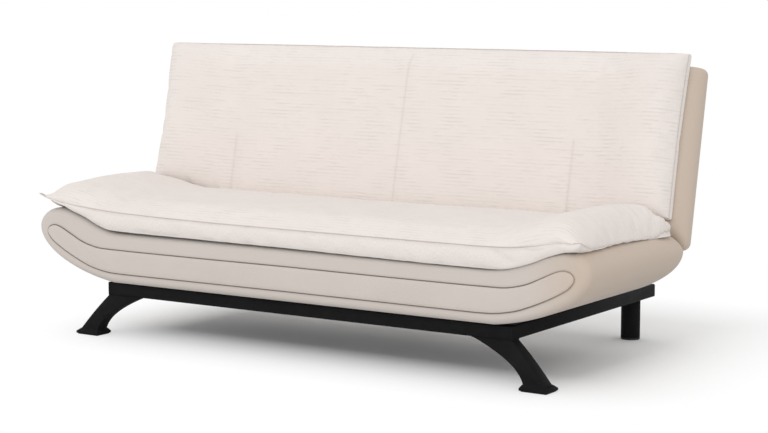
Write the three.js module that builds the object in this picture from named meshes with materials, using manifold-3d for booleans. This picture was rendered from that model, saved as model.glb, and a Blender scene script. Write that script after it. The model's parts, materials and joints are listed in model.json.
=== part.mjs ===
// A click-clack sofa bed. A black steel base stands on two cast front legs and two round rear legs.
// A boat-shaped seat and a boat-shaped back fold on one pivot line, and each carries a padded topper.
// Millimetres. X runs along the sofa, Y towards its back and Z up. While it is built, Y is zero at
// the front face of the seat. At the end the sofa is moved so that the middle of its footprint,
// on the floor, is the origin.
import * as THREE from "three";
import { mergeVertices } from "three/addons/utils/BufferGeometryUtils.js";
import Module from "manifold-3d";

const wasm = await Module();
wasm.setup();

// Clearances and overruns
const touch = 0.3; // between pieces that touch
const running = 0.5; // between pieces that turn past each other
const bore_clearance = 0.1; // round a pin or a bolt
const overrun = 5; // how far a cutting shape runs past what it cuts
const merge_distance = 0.0001;

// The boat section that the seat and the back share
const shell_half_length = 992;
const shell_tip = 92; // how much of each end is the rounded tip, past the risen face
const shell_rise_run = 240; // along this the upholstered face rises
const shell_under_run = 302; // how much of each end has its underside curved up
const shell_rise = 63;
const shell_rise_end = shell_half_length - shell_tip; // where the upholstered face stops rising
const shell_flat_above = shell_rise_end - shell_rise_run; // half length of the flat face
const shell_flat_below = shell_half_length - shell_under_run; // and of the flat underside
const shell_tip_control_shares = [0.46, 0.86, 0.5]; // how full the curves under a tip are

// Base frame, of square tube
const shell_overhang = 259; // how far the seat reaches past each end of the base
const rail_size = 40;
const rail_wall = 2;
const rail_edge = 4;
const base_half_length = shell_half_length - shell_overhang;
const base_front = 42;
const base_end = 953;
const base_underside = 135;
const base_top = base_underside + rail_size;
const rail_end_past_rear_rail = 17;
const rear_rail_middle = base_end - rail_end_past_rear_rail - rail_size / 2;
const cap_thickness = 2;
const cap_depth = 14;

// Cast front legs
const leg_root = 128; // how much of the front rail the arch of a leg runs under
const leg_reach = 110; // how far the ankle stands out past the end of the front rail
const leg_ankle_length = 70;
const leg_ankle_depth = 48;
const leg_ankle_height = 22;
const leg_splay = 12; // how far the ankle stands in front of the rail
const leg_edge = 3;
const leg_outer_bulge = 3;
const leg_arch_shares = [0.565, 0.335, 0.905, 0.645]; // how far along and down the arch bends
const foot_past_ankle = 12;
const foot_length = 88;
const foot_depth = 66;
const foot_height = 10;
const foot_place = base_half_length + leg_reach + foot_past_ankle - foot_length / 2;
const foot_back = base_front - leg_splay + leg_ankle_depth / 2; // the middle of the foot
const glide_thickness = 3;
const glide_inset = 4;

// Round rear legs
const rear_leg_radius = 30.5;
const rear_leg_wall = 2;
const rear_leg_plate = 4;
const rear_leg_inset = 64; // from the end of the base to the middle of the leg
const rear_leg_place = base_half_length - rear_leg_inset;
const rear_glide_height = 6;
const rear_glide_spigot = 12;
const leg_bolt_radius = 5;
const leg_bolt_drop = 22; // how far the bolt reaches into the leg

// Seat and back
const seat_length = 612; // front to back
const seat_thickness = 162;
const seat_over_base = 5;
const seat_top = base_top + seat_over_base + seat_thickness; // height of the upholstered face
const seat_front_round = 25;
const back_length = 540; // from its lower end to its top
const back_thickness = 157;
const back_top_round = 28;
const hinge_end_round = 25;
const seat_mitre_share = 0.75; // how far the risen tips lean back where the seat and the back meet
const back_mitre_share = 0.9;
const back_recline_degrees = 11.8;

// Pivot line of the seat and the back
const pivot_past_seat = 32; // behind the seat's rear end
const pivot_over_face = 21; // above the seat's upholstered face
const pivot_back = seat_length + pivot_past_seat;
const pivot_height = seat_top + pivot_over_face;
const pivot_up_back = 28.3; // from the lower end of the back to the pivot line
const pivot_behind_face = 12; // from the upholstered face of the back to the pivot line

// Toppers
const seat_topper_thickness = 97;
const seat_topper_thinning = 14; // how much thinner it is at its ends
const seat_topper_front = 13; // overhang in front of the seat
const seat_topper_rear = 53; // stops short of the seat's rear end
const seat_topper_rear_retreat = 64;
const seat_topper_corner_pull = 16; // how far its rear corners reach back again
const seat_topper_front_sink = 13; // how far its front edge hangs below the rest
const seat_topper_edge = 76;
const seat_topper_crown = 6;
const seat_topper_seam_lift = 7;
const back_topper_thickness = 66;
const back_topper_start = 8;
const back_topper_top = 40; // stands above the top of the back
const back_topper_top_retreat = 13;
const back_topper_corner_pull = 3; // how far its top corners reach up again
const back_topper_start_retreat = 75;
const back_topper_edge = 42;
const back_topper_crown = 3;
const back_topper_seam_lift = 0;
const topper_inset = 26; // from the tip of a shell to the end of its topper
const topper_half_length = shell_half_length - topper_inset;
const topper_draw_in = 7;
const topper_under_share = 0.26; // how much blunter the edge is under the seam than over it
const topper_column_share = 0.125; // of the edge: columns closer than this are one
const topper_lie = 1.6; // between a topper and what it lies on
const channel_inset = 10; // from the end of the flat face to the outer channels
const channel_spacing = shell_flat_above - channel_inset;
const channel_width = 26;
const channel_depth = 4;

// Steel frame and slats inside the seat and the back
const frame_tube_width = 20;
const frame_tube_height = 40;
const frame_tube_wall = 1.5;
const frame_tube_edge = 3;
const pad_over_slats = 55;
const slat_thickness = 12;
const slat_width = 62;
const slat_count = 4;
const pocket_clearance = 5;
const frame_past_base = 4; // how far the seat's frame reaches past each end of the base
const seat_frame_half_length = base_half_length + frame_past_base;
const pocket_half_length = seat_frame_half_length + pocket_clearance;
const pocket_margin = 40;
const cover_thickness = 3;
const cover_inset = 1;
const seat_frame_front = 46;
const seat_frame_end_gap = 57; // from the frame to the rear end of the seat
const seat_frame_rear = seat_length - seat_frame_end_gap;
const back_frame_start = 85;
const back_frame_end_gap = 45; // from the frame to the top of the back
const back_frame_end = back_length - back_frame_end_gap;

// Click-clack mechanism, one at each end over the side rail. Its plates stand side by side.
const plate_thickness = 4;
const plate_pitch = plate_thickness + 2 * running;
const bracket_inset = 31; // from the end of the base to the inner face of the bracket
const bracket_plane = base_half_length - bracket_inset;
const back_arm_plane = bracket_plane + plate_pitch;
const seat_arm_plane = back_arm_plane + plate_pitch;
const slot_width = 30;
const slot_clearance = 4.5; // between the bracket and the slot that it stands in
const slot_inner = bracket_plane - slot_clearance;
const slot_outer = slot_inner + slot_width;
const slot_seat_length = 112; // from the rear end of the seat forwards
const slot_back_end = 118;
const slot_back_depth = 95;
const notch_back_topper = 50;
const boss_radius = 16;
const pin_radius = 6;
const pin_head_radius = 10;
const pin_head = 2.2;
const bracket_lean = 54; // the column stands this far in front of the pivot
const bracket_column_middle = pivot_back - bracket_lean;
const bracket_column_drop = 63; // from the pivot to the middle of the column's round top
const bracket_column_height = pivot_height - bracket_column_drop;
const bracket_column_half_width = 20;
const bracket_foot_forwards = 99; // from the pivot
const bracket_foot_backwards = 24;
const bracket_foot_front = pivot_back - bracket_foot_forwards;
const bracket_foot_rear = pivot_back + bracket_foot_backwards;
const bracket_foot_width = 29;
const bracket_bolt_offset = 16;
const bracket_bolt_inset = 19; // from the ends of the foot
const bracket_bolt_places = [bracket_foot_front + bracket_bolt_inset,
  bracket_foot_rear - bracket_bolt_inset];
const bracket_bolt_radius = 4;
const bracket_bolt_length = 24;
const bolt_head_share = 1.75; // of the bolt's radius
const bolt_head_height_share = 1.1;
const ratchet_root = 24;
const ratchet_tip = 29;
const ratchet_start_degrees = 226;
const ratchet_pitch_degrees = 12;
const ratchet_teeth = 9;
const pawl_nose_degrees = 238;
const pawl_length = 38;
const pawl_boss = 9;
const pawl_nose = 3;
const pawl_pin_radius = 4;
const spring_turns = 4;
const spring_turn_steps = 8;
const spring_sides = 5;
const spring_skipped_steps = 5; // points nearer than this along the wire are no other coil
const spring_wire = 1.6;
const spring_pitch = 2.3;
const arm_elbow_back = 130; // from the pivot forwards to where the seat arm meets its rail
const arm_tail = 120;
const arm_end_radius = 14;
const back_arm_elbow_up = 84;
const back_arm_tail = 110;

// Rubber buffers that the seat comes down on
const buffer_inset = 133; // from the end of the base
const buffer_place = base_half_length - buffer_inset;
const buffer_radius = 14;
const buffer_edge = 2;

const round_steps = 4;
const rise_steps = 7;
const edge_steps = 3;
const middle_steps = 4;
const circle_steps = 20;
const bend_steps = 12; // along a curve of a front leg
const bevel_steps = 2;
const flat_steps = 5; // along half of a topper's flat part
const bolt_head_sides = 6;
const degrees = Math.PI / 180;

// Materials
const material = (color, roughness, metalness) =>
  new THREE.MeshStandardMaterial({ color, roughness, metalness });
const black_steel = () => material(0x1c1c1e, 0.45, 0.6);
const zinc_steel = () => material(0x9a9c9f, 0.4, 0.9);
const spring_steel = () => material(0x55585c, 0.35, 0.9);
const black_rubber = () => material(0x141414, 0.85, 0);
const black_plastic = () => material(0x19191b, 0.55, 0);
const plywood = () => material(0xc8a878, 0.7, 0);
const shell_fabric = () => material(0xcbbfb4, 0.9, 0);
const topper_fabric = () => material(0xe8dfd8, 0.95, 0);
const lining = () => material(0x222224, 0.95, 0);

// A closed surface from points and faces, turned to face out.
function closedSurface(points, faces) {
  let volume = 0;
  for (const [a, b, c] of faces) {
    volume += points[a].dot(points[b].clone().cross(points[c]));
  }
  const index = volume > 0 ? faces.flat() : faces.flatMap(([a, b, c]) => [a, c, b]);
  const geometry = new THREE.BufferGeometry().setFromPoints(points);
  geometry.setIndex(index);
  return geometry;
}

// A closed solid through rings of equal count. flat gives a ring's points in its own plane.
function loft(rings, flat) {
  const count = rings[0].length;
  const faces = [];
  for (let r = 0; r + 1 < rings.length; r++) {
    for (let k = 0; k < count; k++) {
      const a = r * count + k;
      const b = r * count + ((k + 1) % count);
      faces.push([a, b, b + count], [a, b + count, a + count]);
    }
  }
  const last = (rings.length - 1) * count;
  for (const [ring, first, turned] of [[rings[0], 0, true], [rings.at(-1), last, false]]) {
    const outline = ring.map(flat);
    const same = THREE.ShapeUtils.isClockWise(outline) ? turned : !turned;
    for (const [a, b, c] of THREE.ShapeUtils.triangulateShape(outline, [])) {
      faces.push(same ? [first + a, first + b, first + c] : [first + a, first + c, first + b]);
    }
  }
  return alignCaps(rings.flat(), faces, rings.length * count, count);
}

// Gives the side faces of a loft the same sense as its end caps.
function alignCaps(points, faces, total, count) {
  const sides = faces.slice(0, 2 * (total - count));
  const caps = faces.slice(2 * (total - count));
  const directed = new Set(sides.flatMap(([a, b, c]) => [`${a},${b}`, `${b},${c}`, `${c},${a}`]));
  const clash = caps.some(([a, b, c]) =>
    [`${a},${b}`, `${b},${c}`, `${c},${a}`].some((edge) => directed.has(edge)));
  const fixed = clash ? caps.map(([a, b, c]) => [a, c, b]) : caps;
  return closedSurface(points, [...sides, ...fixed]);
}

function solidOf(geometry) {
  const bare = geometry.index ? geometry.toNonIndexed() : geometry.clone();
  bare.deleteAttribute("normal");
  bare.deleteAttribute("uv");
  const merged = mergeVertices(bare, merge_distance);
  const mesh = new wasm.Mesh({
    numProp: 3,
    vertProperties: merged.attributes.position.array,
    triVerts: new Uint32Array(merged.index.array),
  });
  return new wasm.Manifold(mesh);
}

function geometryOf(solid) {
  const { vertProperties, triVerts, numProp } = solid.getMesh();
  const geometry = new THREE.BufferGeometry();
  geometry.setAttribute("position", new THREE.BufferAttribute(vertProperties, numProp));
  geometry.setIndex(new THREE.BufferAttribute(triVerts, 1));
  return geometry;
}

function cut(geometry, ...tools) {
  return geometryOf(tools.reduce((left, tool) => left.subtract(solidOf(tool)), solidOf(geometry)));
}

function join(...geometries) {
  return geometryOf(geometries.map(solidOf).reduce((sum, solid) => sum.add(solid)));
}

function box(low, high) {
  const size = high.map((value, axis) => value - low[axis]);
  const middle = high.map((value, axis) => (value + low[axis]) / 2);
  return new THREE.BoxGeometry(...size).translate(...middle);
}

// A cylinder between two heights.
function post(radius, x, y, bottom, top, steps = circle_steps) {
  const geometry = new THREE.CylinderGeometry(radius, radius, top - bottom, steps);
  return geometry.rotateX(Math.PI / 2).translate(x, y, (top + bottom) / 2);
}

// A cylinder along X.
function bar(radius, start, end, y, z, steps = circle_steps) {
  const geometry = new THREE.CylinderGeometry(radius, radius, end - start, steps);
  return geometry.rotateZ(Math.PI / 2).translate((start + end) / 2, y, z);
}

function roundedRectangle(width, height, radius, path) {
  const [w, h] = [width / 2, height / 2];
  const middles = [[w - radius, h - radius, 0], [radius - w, h - radius, 1],
    [radius - w, radius - h, 2], [w - radius, radius - h, 3]];
  for (const [x, y, quarter] of middles) {
    const start = (quarter * Math.PI) / 2;
    path.absarc(x, y, radius, start, start + Math.PI / 2, false);
  }
  return path.closePath();
}

// A straight square or oblong tube along Y, open at both ends, from y = 0.
function tubeAlongY(length, width, height, wall, edge) {
  const section = roundedRectangle(width, height, edge, new THREE.Shape());
  const [inner, tall] = [width - 2 * wall, height - 2 * wall];
  const hollow = roundedRectangle(inner, tall, edge - wall / 2, new THREE.Path());
  section.holes.push(hollow);
  const geometry = new THREE.ExtrudeGeometry(section,
    { depth: length, bevelEnabled: false, curveSegments: 1 });
  return geometry.rotateX(-Math.PI / 2);
}

function tubeAlongX(length, width, height, wall, edge) {
  return tubeAlongY(length, width, height, wall, edge).rotateZ(-Math.PI / 2);
}

// Outline, in Y and Z, of a flat plate that wraps a set of circles tightly.
function hullOutline(circles) {
  const points = circles.flatMap(([y, z, radius]) =>
    Array.from({ length: circle_steps }, (_, k) => {
      const angle = (k / circle_steps) * 2 * Math.PI;
      return new THREE.Vector2(y + radius * Math.cos(angle), z + radius * Math.sin(angle));
    }));
  points.sort((p, q) => p.x - q.x || p.y - q.y);
  const chainOf = (list) => {
    const chain = [];
    for (const p of list) {
      while (chain.length > 1 && turn(chain.at(-2), chain.at(-1), p) <= 0) chain.pop();
      chain.push(p);
    }
    return chain.slice(0, -1);
  };
  return [...chainOf(points), ...chainOf(points.toReversed())];
}

function turn(a, b, c) {
  return (b.x - a.x) * (c.y - a.y) - (b.y - a.y) * (c.x - a.x);
}

// A plate standing in the plane of Y and Z, from x = start, with round holes [y, z, radius].
function plate(outline, start, holes = []) {
  const shape = new THREE.Shape(outline);
  for (const [y, z, radius] of holes) {
    shape.holes.push(new THREE.Path().absarc(y, z, radius, 0, 2 * Math.PI, true));
  }
  const geometry = new THREE.ExtrudeGeometry(shape,
    { depth: plate_thickness, bevelEnabled: false, curveSegments: circle_steps / 2 });
  const stand = new THREE.Matrix4().makeBasis(
    new THREE.Vector3(0, 1, 0), new THREE.Vector3(0, 0, 1), new THREE.Vector3(1, 0, 0));
  return geometry.applyMatrix4(stand).translate(start, 0, 0);
}

// How far the upholstered face has risen at a place along the sofa, as a share of the whole rise.
// Past the end of the rise it stays risen.
function riseShare(x) {
  const run = (Math.abs(x) - shell_flat_above) / (shell_rise_end - shell_flat_above);
  const t = Math.min(Math.max(run, 0), 1);
  return t * t * (3 - 2 * t);
}

// Height of the upholstered face at a place along the sofa. It rounds off towards the tip.
function faceHeight(x) {
  const past = Math.max(Math.abs(x) - shell_rise_end, 0) / (shell_half_length - shell_rise_end);
  return shell_rise * riseShare(x) * Math.sqrt(1 - past * past);
}

// Half of the boat section, from the underside round the tip to the flat upholstered face.
// The upholstered face is at zero and the underside below it.
function boatHalf(thickness) {
  const tip = new THREE.Vector2(shell_half_length, 0);
  const run = shell_half_length - shell_flat_below;
  const [lower, upper, depth] = shell_tip_control_shares;
  const under = new THREE.CubicBezierCurve(
    new THREE.Vector2(shell_flat_below, -thickness),
    new THREE.Vector2(shell_flat_below + lower * run, -thickness * upper - thickness * (1 - upper) / 4),
    new THREE.Vector2(shell_half_length, -thickness * depth),
    tip,
  ).getPoints(2 * round_steps - 1);
  const over = Array.from({ length: round_steps }, (_, k) => {
    const angle = ((k + 1) / round_steps) * (Math.PI / 2);
    return new THREE.Vector2(shell_rise_end + (shell_half_length - shell_rise_end) * Math.cos(angle),
      shell_rise * Math.sin(angle));
  });
  const rise = Array.from({ length: rise_steps }, (_, k) => {
    const share = (k + 1) / rise_steps;
    const x = shell_rise_end - share * (shell_rise_end - shell_flat_above);
    return new THREE.Vector2(x, faceHeight(x));
  });
  return [...under, ...over, ...rise];
}

function boatSection(thickness) {
  const half = boatHalf(thickness);
  const mirrored = half.map((p) => new THREE.Vector2(-p.x, p.y)).reverse();
  return [...half, ...mirrored];
}

// Moves each corner of an anticlockwise outline inwards.
function inset(outline, amount) {
  return outline.map((p, k) => {
    const before = outline.at(k - 1);
    const after = outline[(k + 1) % outline.length];
    const one = p.clone().sub(before).normalize();
    const two = after.clone().sub(p).normalize();
    const inward = new THREE.Vector2(-one.y - two.y, one.x + two.x).normalize();
    const lean = Math.max(inward.dot(new THREE.Vector2(-one.y, one.x)), 0.5);
    return p.clone().addScaledVector(inward, amount / lean);
  });
}

// The upholstered body of the seat or the back: X along the sofa, Y from its first end to its
// second, and Z out of its upholstered face. Both ends are rounded. At the ends that meet over the
// pivot line, what rises above the face leans back, as two mitred pieces do.
function shellBody(length, thickness, firstRound, secondRound, firstMitre, secondMitre) {
  const section = boatSection(thickness);
  const stations = [];
  for (let k = 0; k <= round_steps; k++) {
    const angle = (k / round_steps) * (Math.PI / 2);
    const [run, sink] = [1 - Math.cos(angle), 1 - Math.sin(angle)];
    stations.push([firstRound * run, firstRound * sink]);
    stations.push([length - secondRound * run, secondRound * sink]);
  }
  stations.sort((a, b) => a[0] - b[0]);
  const rings = stations.map(([place, depth]) =>
    inset(section, depth).map((p) => {
      const above = Math.max(p.y, 0);
      const [first, second] = [firstMitre * above, secondMitre * above];
      const y = first + (place * (length - first - second)) / length;
      return new THREE.Vector3(p.x, y, p.y);
    }));
  return loft(rings, (p) => new THREE.Vector2(p.x, p.z));
}

// Places along half of a topper: at its channels, along the rise of the face and close together
// near its edge.
function topperColumns(edge, channels) {
  const places = [];
  for (let k = 0; k < flat_steps; k++) {
    places.push((k / flat_steps) * (shell_flat_above - 2 * channel_width));
  }
  for (let k = 0; k <= rise_steps; k++) {
    places.push(shell_flat_above + (k / rise_steps) * (shell_rise_end - shell_flat_above));
  }
  const start = topper_half_length - edge;
  for (let k = 0; k <= edge_steps; k++) {
    places.push(start + edge * Math.sin((k / edge_steps) * (Math.PI / 2)));
  }
  const own = channels.flatMap((middle) =>
    [-1, -0.5, 0, 0.5, 1].map((side) => Math.abs(middle + side * channel_width)));
  const apart = edge * topper_column_share;
  const kept = [...new Set(own), topper_half_length];
  for (const place of places) {
    if (!kept.some((other) => Math.abs(other - place) < apart)) kept.push(place);
  }
  return kept.sort((p, q) => p - q);
}

// How full a topper is at a distance from its edge, from 0 at the seam to 1.
function fullness(distance, edge) {
  const t = Math.min(distance / edge, 1);
  return Math.sqrt(Math.max(1 - (1 - t) * (1 - t), 0));
}

// A padded topper on an upholstered face at zero: two skins that meet at a seam all round.
// start and end give its edges along Y at a place along the sofa.
function topper({ start, end, thickness, thinning, edge, crown, seamLift, pull, sink, channels }) {
  const places = topperColumns(edge, channels);
  const columns = [...places.slice(1).map((x) => -x).reverse(), ...places];
  const rows = [];
  for (let k = 0; k <= edge_steps; k++) {
    const run = 1 - Math.cos((k / edge_steps) * (Math.PI / 2));
    rows.push([0, edge * run], [1, -edge * run]);
  }
  for (let k = 1; k < middle_steps; k++) {
    rows.push([k / middle_steps, edge * (1 - (2 * k) / middle_steps)]);
  }
  rows.sort((a, b) => a[0] - b[0] || a[1] - b[1]);
  const skin = (side) => columns.map((x) => rows.map(([share, offset]) => {
    const [low, high] = [start(x), end(x)];
    const y = low + share * (high - low) + offset;
    const t = (y - low) / (high - low);
    const across = fullness(topper_half_length - Math.abs(x), edge);
    const along = fullness(Math.min(y - low, high - y), edge);
    const full = (across * along) ** (side > 0 ? 1 : topper_under_share);
    const corner = pull * (Math.abs(x) / topper_half_length) ** 8 * t ** 4;
    const drawn = topper_draw_in * 4 * t * (1 - t) * (Math.abs(x) / topper_half_length) ** 2;
    const reach = Math.sign(x) * (Math.abs(x) - drawn);
    const half = (thickness - thinning * riseShare(reach)) / 2;
    const seam = seamLift * (1 - full);
    const channel = channels.reduce((depth, place) => {
      const away = Math.min(Math.abs(Math.abs(x) - place) / channel_width, 1);
      return depth + (1 - away * away) ** 2 * channel_depth * Math.sin(Math.PI * t);
    }, 0);
    const bulge = side > 0 ? half + crown * Math.sin(Math.PI * t) - channel : -half;
    const hang = sink * Math.max(1 - (y - low) / edge, 0) ** 2;
    const height = topper_lie + faceHeight(reach) + half + seam - hang + full * bulge;
    return new THREE.Vector3(reach, y + corner, height);
  }));
  return joinSkins(skin(1), skin(-1));
}

// Joins an upper and a lower grid of points along their shared border.
function joinSkins(upper, lower) {
  const [across, along] = [upper.length, upper[0].length];
  const points = upper.flat();
  const below = new Map();
  lower.forEach((column, i) => column.forEach((p, j) => {
    const border = i === 0 || j === 0 || i === across - 1 || j === along - 1;
    below.set(i * along + j, border ? i * along + j : points.push(p) - 1);
  }));
  const faces = [];
  for (let i = 0; i + 1 < across; i++) {
    for (let j = 0; j + 1 < along; j++) {
      const corners = [i * along + j, (i + 1) * along + j, (i + 1) * along + j + 1, i * along + j + 1];
      const [a, b, c, d] = corners;
      faces.push([a, b, c], [a, c, d]);
      const [e, f, g, h] = corners.map((corner) => below.get(corner));
      faces.push([e, g, f], [e, h, g]);
    }
  }
  return closedSurface(points, faces);
}

const sofa = new THREE.Group();

function add(parent, name, geometry, look) {
  const mesh = new THREE.Mesh(geometry, look);
  mesh.name = name;
  parent.add(mesh);
}

// The base's front rail and side rails are one run of tube, mitred and welded at both corners. A
// mitre is as much wider than the tube as a square's diagonal is longer than its side.
function weldedRail() {
  const section = (width, edge) => {
    const outline = roundedRectangle(width, width, edge, new THREE.Shape()).getPoints(1);
    return outline.filter((p, k) => k === 0 || p.distanceTo(outline[k - 1]) > touch);
  };
  const side = base_half_length - rail_size / 2;
  const front = base_front + rail_size / 2;
  const sweep = (outline, past) => {
    const stations = [
      [side, base_end + past, 0, 1],
      [side, front, -Math.PI / 4, Math.SQRT2],
      [-side, front, (-3 * Math.PI) / 4, Math.SQRT2],
      [-side, base_end + past, -Math.PI, 1],
    ];
    return loft(stations.map(([x, y, angle, wider]) => outline.map((p) => new THREE.Vector3(
      x + p.x * wider * Math.cos(angle), y + p.x * wider * Math.sin(angle),
      base_underside + rail_size / 2 + p.y))), (p) => new THREE.Vector2(p.x, p.z));
  };
  const outside = sweep(section(rail_size, rail_edge), 0);
  const inside = sweep(section(rail_size - 2 * rail_wall, rail_edge - rail_wall / 2), overrun);
  const holes = [-1, 1].flatMap((sign) => bracket_bolt_places.map((y) => post(
    bracket_bolt_radius + bore_clearance, sign * (bracket_plane + bracket_bolt_offset), y,
    base_top - rail_wall - overrun, base_top + overrun)));
  return cut(outside, inside, ...holes);
}

function rearRail() {
  const reach = base_half_length - rail_size - touch;
  const tube = tubeAlongX(2 * reach, rail_size, rail_size, rail_wall, rail_edge);
  tube.translate(-reach, rear_rail_middle, base_underside + rail_size / 2);
  const holes = [-1, 1].map((sign) => post(leg_bolt_radius + bore_clearance,
    sign * rear_leg_place, rear_rail_middle, base_underside - overrun, base_top + overrun));
  return cut(tube, ...holes);
}

function centreBrace() {
  const start = base_front + rail_size + touch;
  const length = rear_rail_middle - rail_size / 2 - touch - start;
  const tube = tubeAlongY(length, rail_size, rail_size, rail_wall, rail_edge);
  return tube.translate(0, start, base_underside + rail_size / 2);
}

function railCap() {
  const middle = base_half_length - rail_size / 2;
  const height = base_underside + rail_size / 2;
  const lid = roundedRectangle(rail_size, rail_size, rail_edge, new THREE.Shape());
  const spigotSize = rail_size - 2 * rail_wall - 2 * touch;
  const spigot = roundedRectangle(spigotSize, spigotSize, rail_edge, new THREE.Shape());
  const block = (shape, depth, start) => new THREE.ExtrudeGeometry(shape,
    { depth, bevelEnabled: false, curveSegments: 1 })
    .rotateX(-Math.PI / 2).translate(middle, start, height);
  const seat = base_end + touch;
  return join(block(lid, cap_thickness, seat), block(spigot, cap_depth + touch, seat - cap_depth));
}

// A cast leg sweeps out from under the front rail to a flared foot.
function frontLeg() {
  const top = base_underside - touch;
  const sole = glide_thickness + touch;
  const root = base_half_length - leg_root;
  const ankleOut = base_half_length + leg_reach;
  const ankleIn = ankleOut - leg_ankle_length;
  const height = top - leg_ankle_height;
  const profile = new THREE.Shape();
  profile.moveTo(base_half_length, top);
  profile.lineTo(root, top);
  const [along, down, furtherAlong, furtherDown] = leg_arch_shares;
  profile.bezierCurveTo(
    root + (ankleIn - root) * along, top - height * down,
    root + (ankleIn - root) * furtherAlong, top - height * furtherDown,
    ankleIn, leg_ankle_height);
  profile.lineTo(ankleIn, leg_ankle_height - foot_height / 2);
  profile.lineTo(ankleOut, leg_ankle_height - foot_height / 2);
  profile.quadraticCurveTo(
    base_half_length + leg_reach / 2 + leg_outer_bulge, (top + leg_ankle_height) / 2 + leg_outer_bulge,
    base_half_length, top);
  const body = new THREE.ExtrudeGeometry(profile, {
    depth: 1 - 2 * leg_edge / leg_ankle_depth, curveSegments: bend_steps,
    bevelThickness: leg_edge / leg_ankle_depth, bevelSize: leg_edge, bevelOffset: -leg_edge,
    bevelSegments: bevel_steps,
  });
  const place = body.attributes.position;
  for (let k = 0; k < place.count; k++) {
    const down = (top - place.getY(k)) / height;
    const share = place.getZ(k) + leg_edge / leg_ankle_depth;
    const front = base_front - leg_splay * down;
    const depth = rail_size + (leg_ankle_depth - rail_size) * down;
    place.setXYZ(k, place.getX(k), front + (1 - share) * depth, place.getY(k));
  }
  const ring = (middle, length, depth, z) => [[1, 1], [-1, 1], [-1, -1], [1, -1]].map(([x, y]) =>
    new THREE.Vector3(middle + (x * length) / 2, foot_back + (y * depth) / 2, z));
  const foot = loft([
    ring(foot_place, foot_length, foot_depth, sole),
    ring(foot_place, foot_length, foot_depth, foot_height),
    ring((ankleIn + ankleOut) / 2, leg_ankle_length, leg_ankle_depth, leg_ankle_height - leg_edge),
  ], (p) => new THREE.Vector2(p.x, p.y));
  return join(body, foot);
}

function frontGlide() {
  const [x, y] = [foot_length / 2 - glide_inset, foot_depth / 2 - glide_inset];
  return box([foot_place - x, foot_back - y, 0], [foot_place + x, foot_back + y, glide_thickness]);
}

function turned(points) {
  const profile = points.map(([radius, height]) => new THREE.Vector2(radius, height));
  return new THREE.LatheGeometry(profile, circle_steps).rotateX(Math.PI / 2);
}

// A round rear leg is a tube with a plate on top, bolted up to the rear rail.
function rearLeg() {
  const [bottom, top] = [rear_glide_height + touch, base_underside - touch];
  const hole = leg_bolt_radius + bore_clearance;
  const inner = rear_leg_radius - rear_leg_wall;
  const plateUnder = top - rear_leg_plate;
  const tube = turned([[rear_leg_radius, bottom], [rear_leg_radius, top], [hole, top],
    [hole, plateUnder], [inner, plateUnder], [inner, bottom], [rear_leg_radius, bottom]]);
  return tube.translate(rear_leg_place, rear_rail_middle, 0);
}

function rearGlide() {
  const spigot = rear_leg_radius - rear_leg_wall - touch;
  const top = rear_glide_height + rear_glide_spigot;
  const plug = turned([[0, 0], [rear_leg_radius - 1, 0], [rear_leg_radius, 1],
    [rear_leg_radius, rear_glide_height], [spigot, rear_glide_height], [spigot, top], [0, top]]);
  return plug.translate(rear_leg_place, rear_rail_middle, 0);
}

// A hexagon-headed bolt that stands on a face and reaches down through it.
function bolt(radius, x, y, face, length) {
  const head = radius * bolt_head_share;
  const shank = post(radius, x, y, face - length, face + touch);
  const top = face + radius * bolt_head_height_share;
  return join(shank, post(head, x, y, face, top, bolt_head_sides));
}

function seatBuffer() {
  const top = seat_top - seat_thickness + cover_inset - touch;
  const puck = turned([[0, base_top + touch], [buffer_radius, base_top + touch],
    [buffer_radius, top - buffer_edge], [buffer_radius - buffer_edge, top], [0, top]]);
  return puck.translate(buffer_place, base_front + rail_size / 2, 0);
}

// Where the pawl's nose and its pin are, seen from the end of the sofa.
const nose_angle = pawl_nose_degrees * degrees;
const nose_reach = ratchet_tip + running + pawl_nose;
const nose_back = pivot_back + nose_reach * Math.cos(nose_angle);
const nose_height = pivot_height + nose_reach * Math.sin(nose_angle);
const pawl_back = nose_back - pawl_length * Math.sin(nose_angle);
const pawl_height = nose_height + pawl_length * Math.cos(nose_angle);

// The bracket stands on the side rail and carries the pivot pin and the pawl's pin.
function baseBracket() {
  const bottom = base_top + touch;
  const [middle, half] = [bracket_column_middle, bracket_column_half_width];
  const holes = [[pivot_back, pivot_height, pin_radius + bore_clearance],
    [pawl_back, pawl_height, pawl_pin_radius + bore_clearance]];
  const web = plate(hullOutline([[middle, bracket_column_height, half],
    [pivot_back, pivot_height, boss_radius], [pawl_back, pawl_height, pawl_boss]]), bracket_plane, holes);
  const column = box([bracket_plane, middle - half, bottom],
    [bracket_plane + plate_thickness, middle + half, bracket_column_height]);
  const foot = box([bracket_plane, bracket_foot_front, bottom],
    [bracket_plane + bracket_foot_width, bracket_foot_rear, bottom + plate_thickness]);
  const holesDown = bracket_bolt_places.map((y) => post(bracket_bolt_radius + bore_clearance,
    bracket_plane + bracket_bolt_offset, y, base_top, bottom + plate_thickness + overrun));
  return cut(join(web, column, foot), ...holesDown);
}

// A headed pin along X, with its heads just outside the plates that it holds.
function headedPin(radius, headRadius, start, end, y, z) {
  return join(
    bar(headRadius, start - touch - pin_head, start - touch, y, z),
    bar(radius, start - touch - pin_head / 2, end + touch + pin_head / 2, y, z),
    bar(headRadius, end + touch, end + touch + pin_head, y, z));
}

// A place on the back, given up its face and behind its face, seen from the end of the sofa.
function onBack(up, behind) {
  const lean = back_recline_degrees * degrees;
  const [along, inwards] = [up - pivot_up_back, behind - pivot_behind_face];
  return [pivot_back + along * Math.sin(lean) + inwards * Math.cos(lean),
    pivot_height + along * Math.cos(lean) - inwards * Math.sin(lean)];
}

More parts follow.
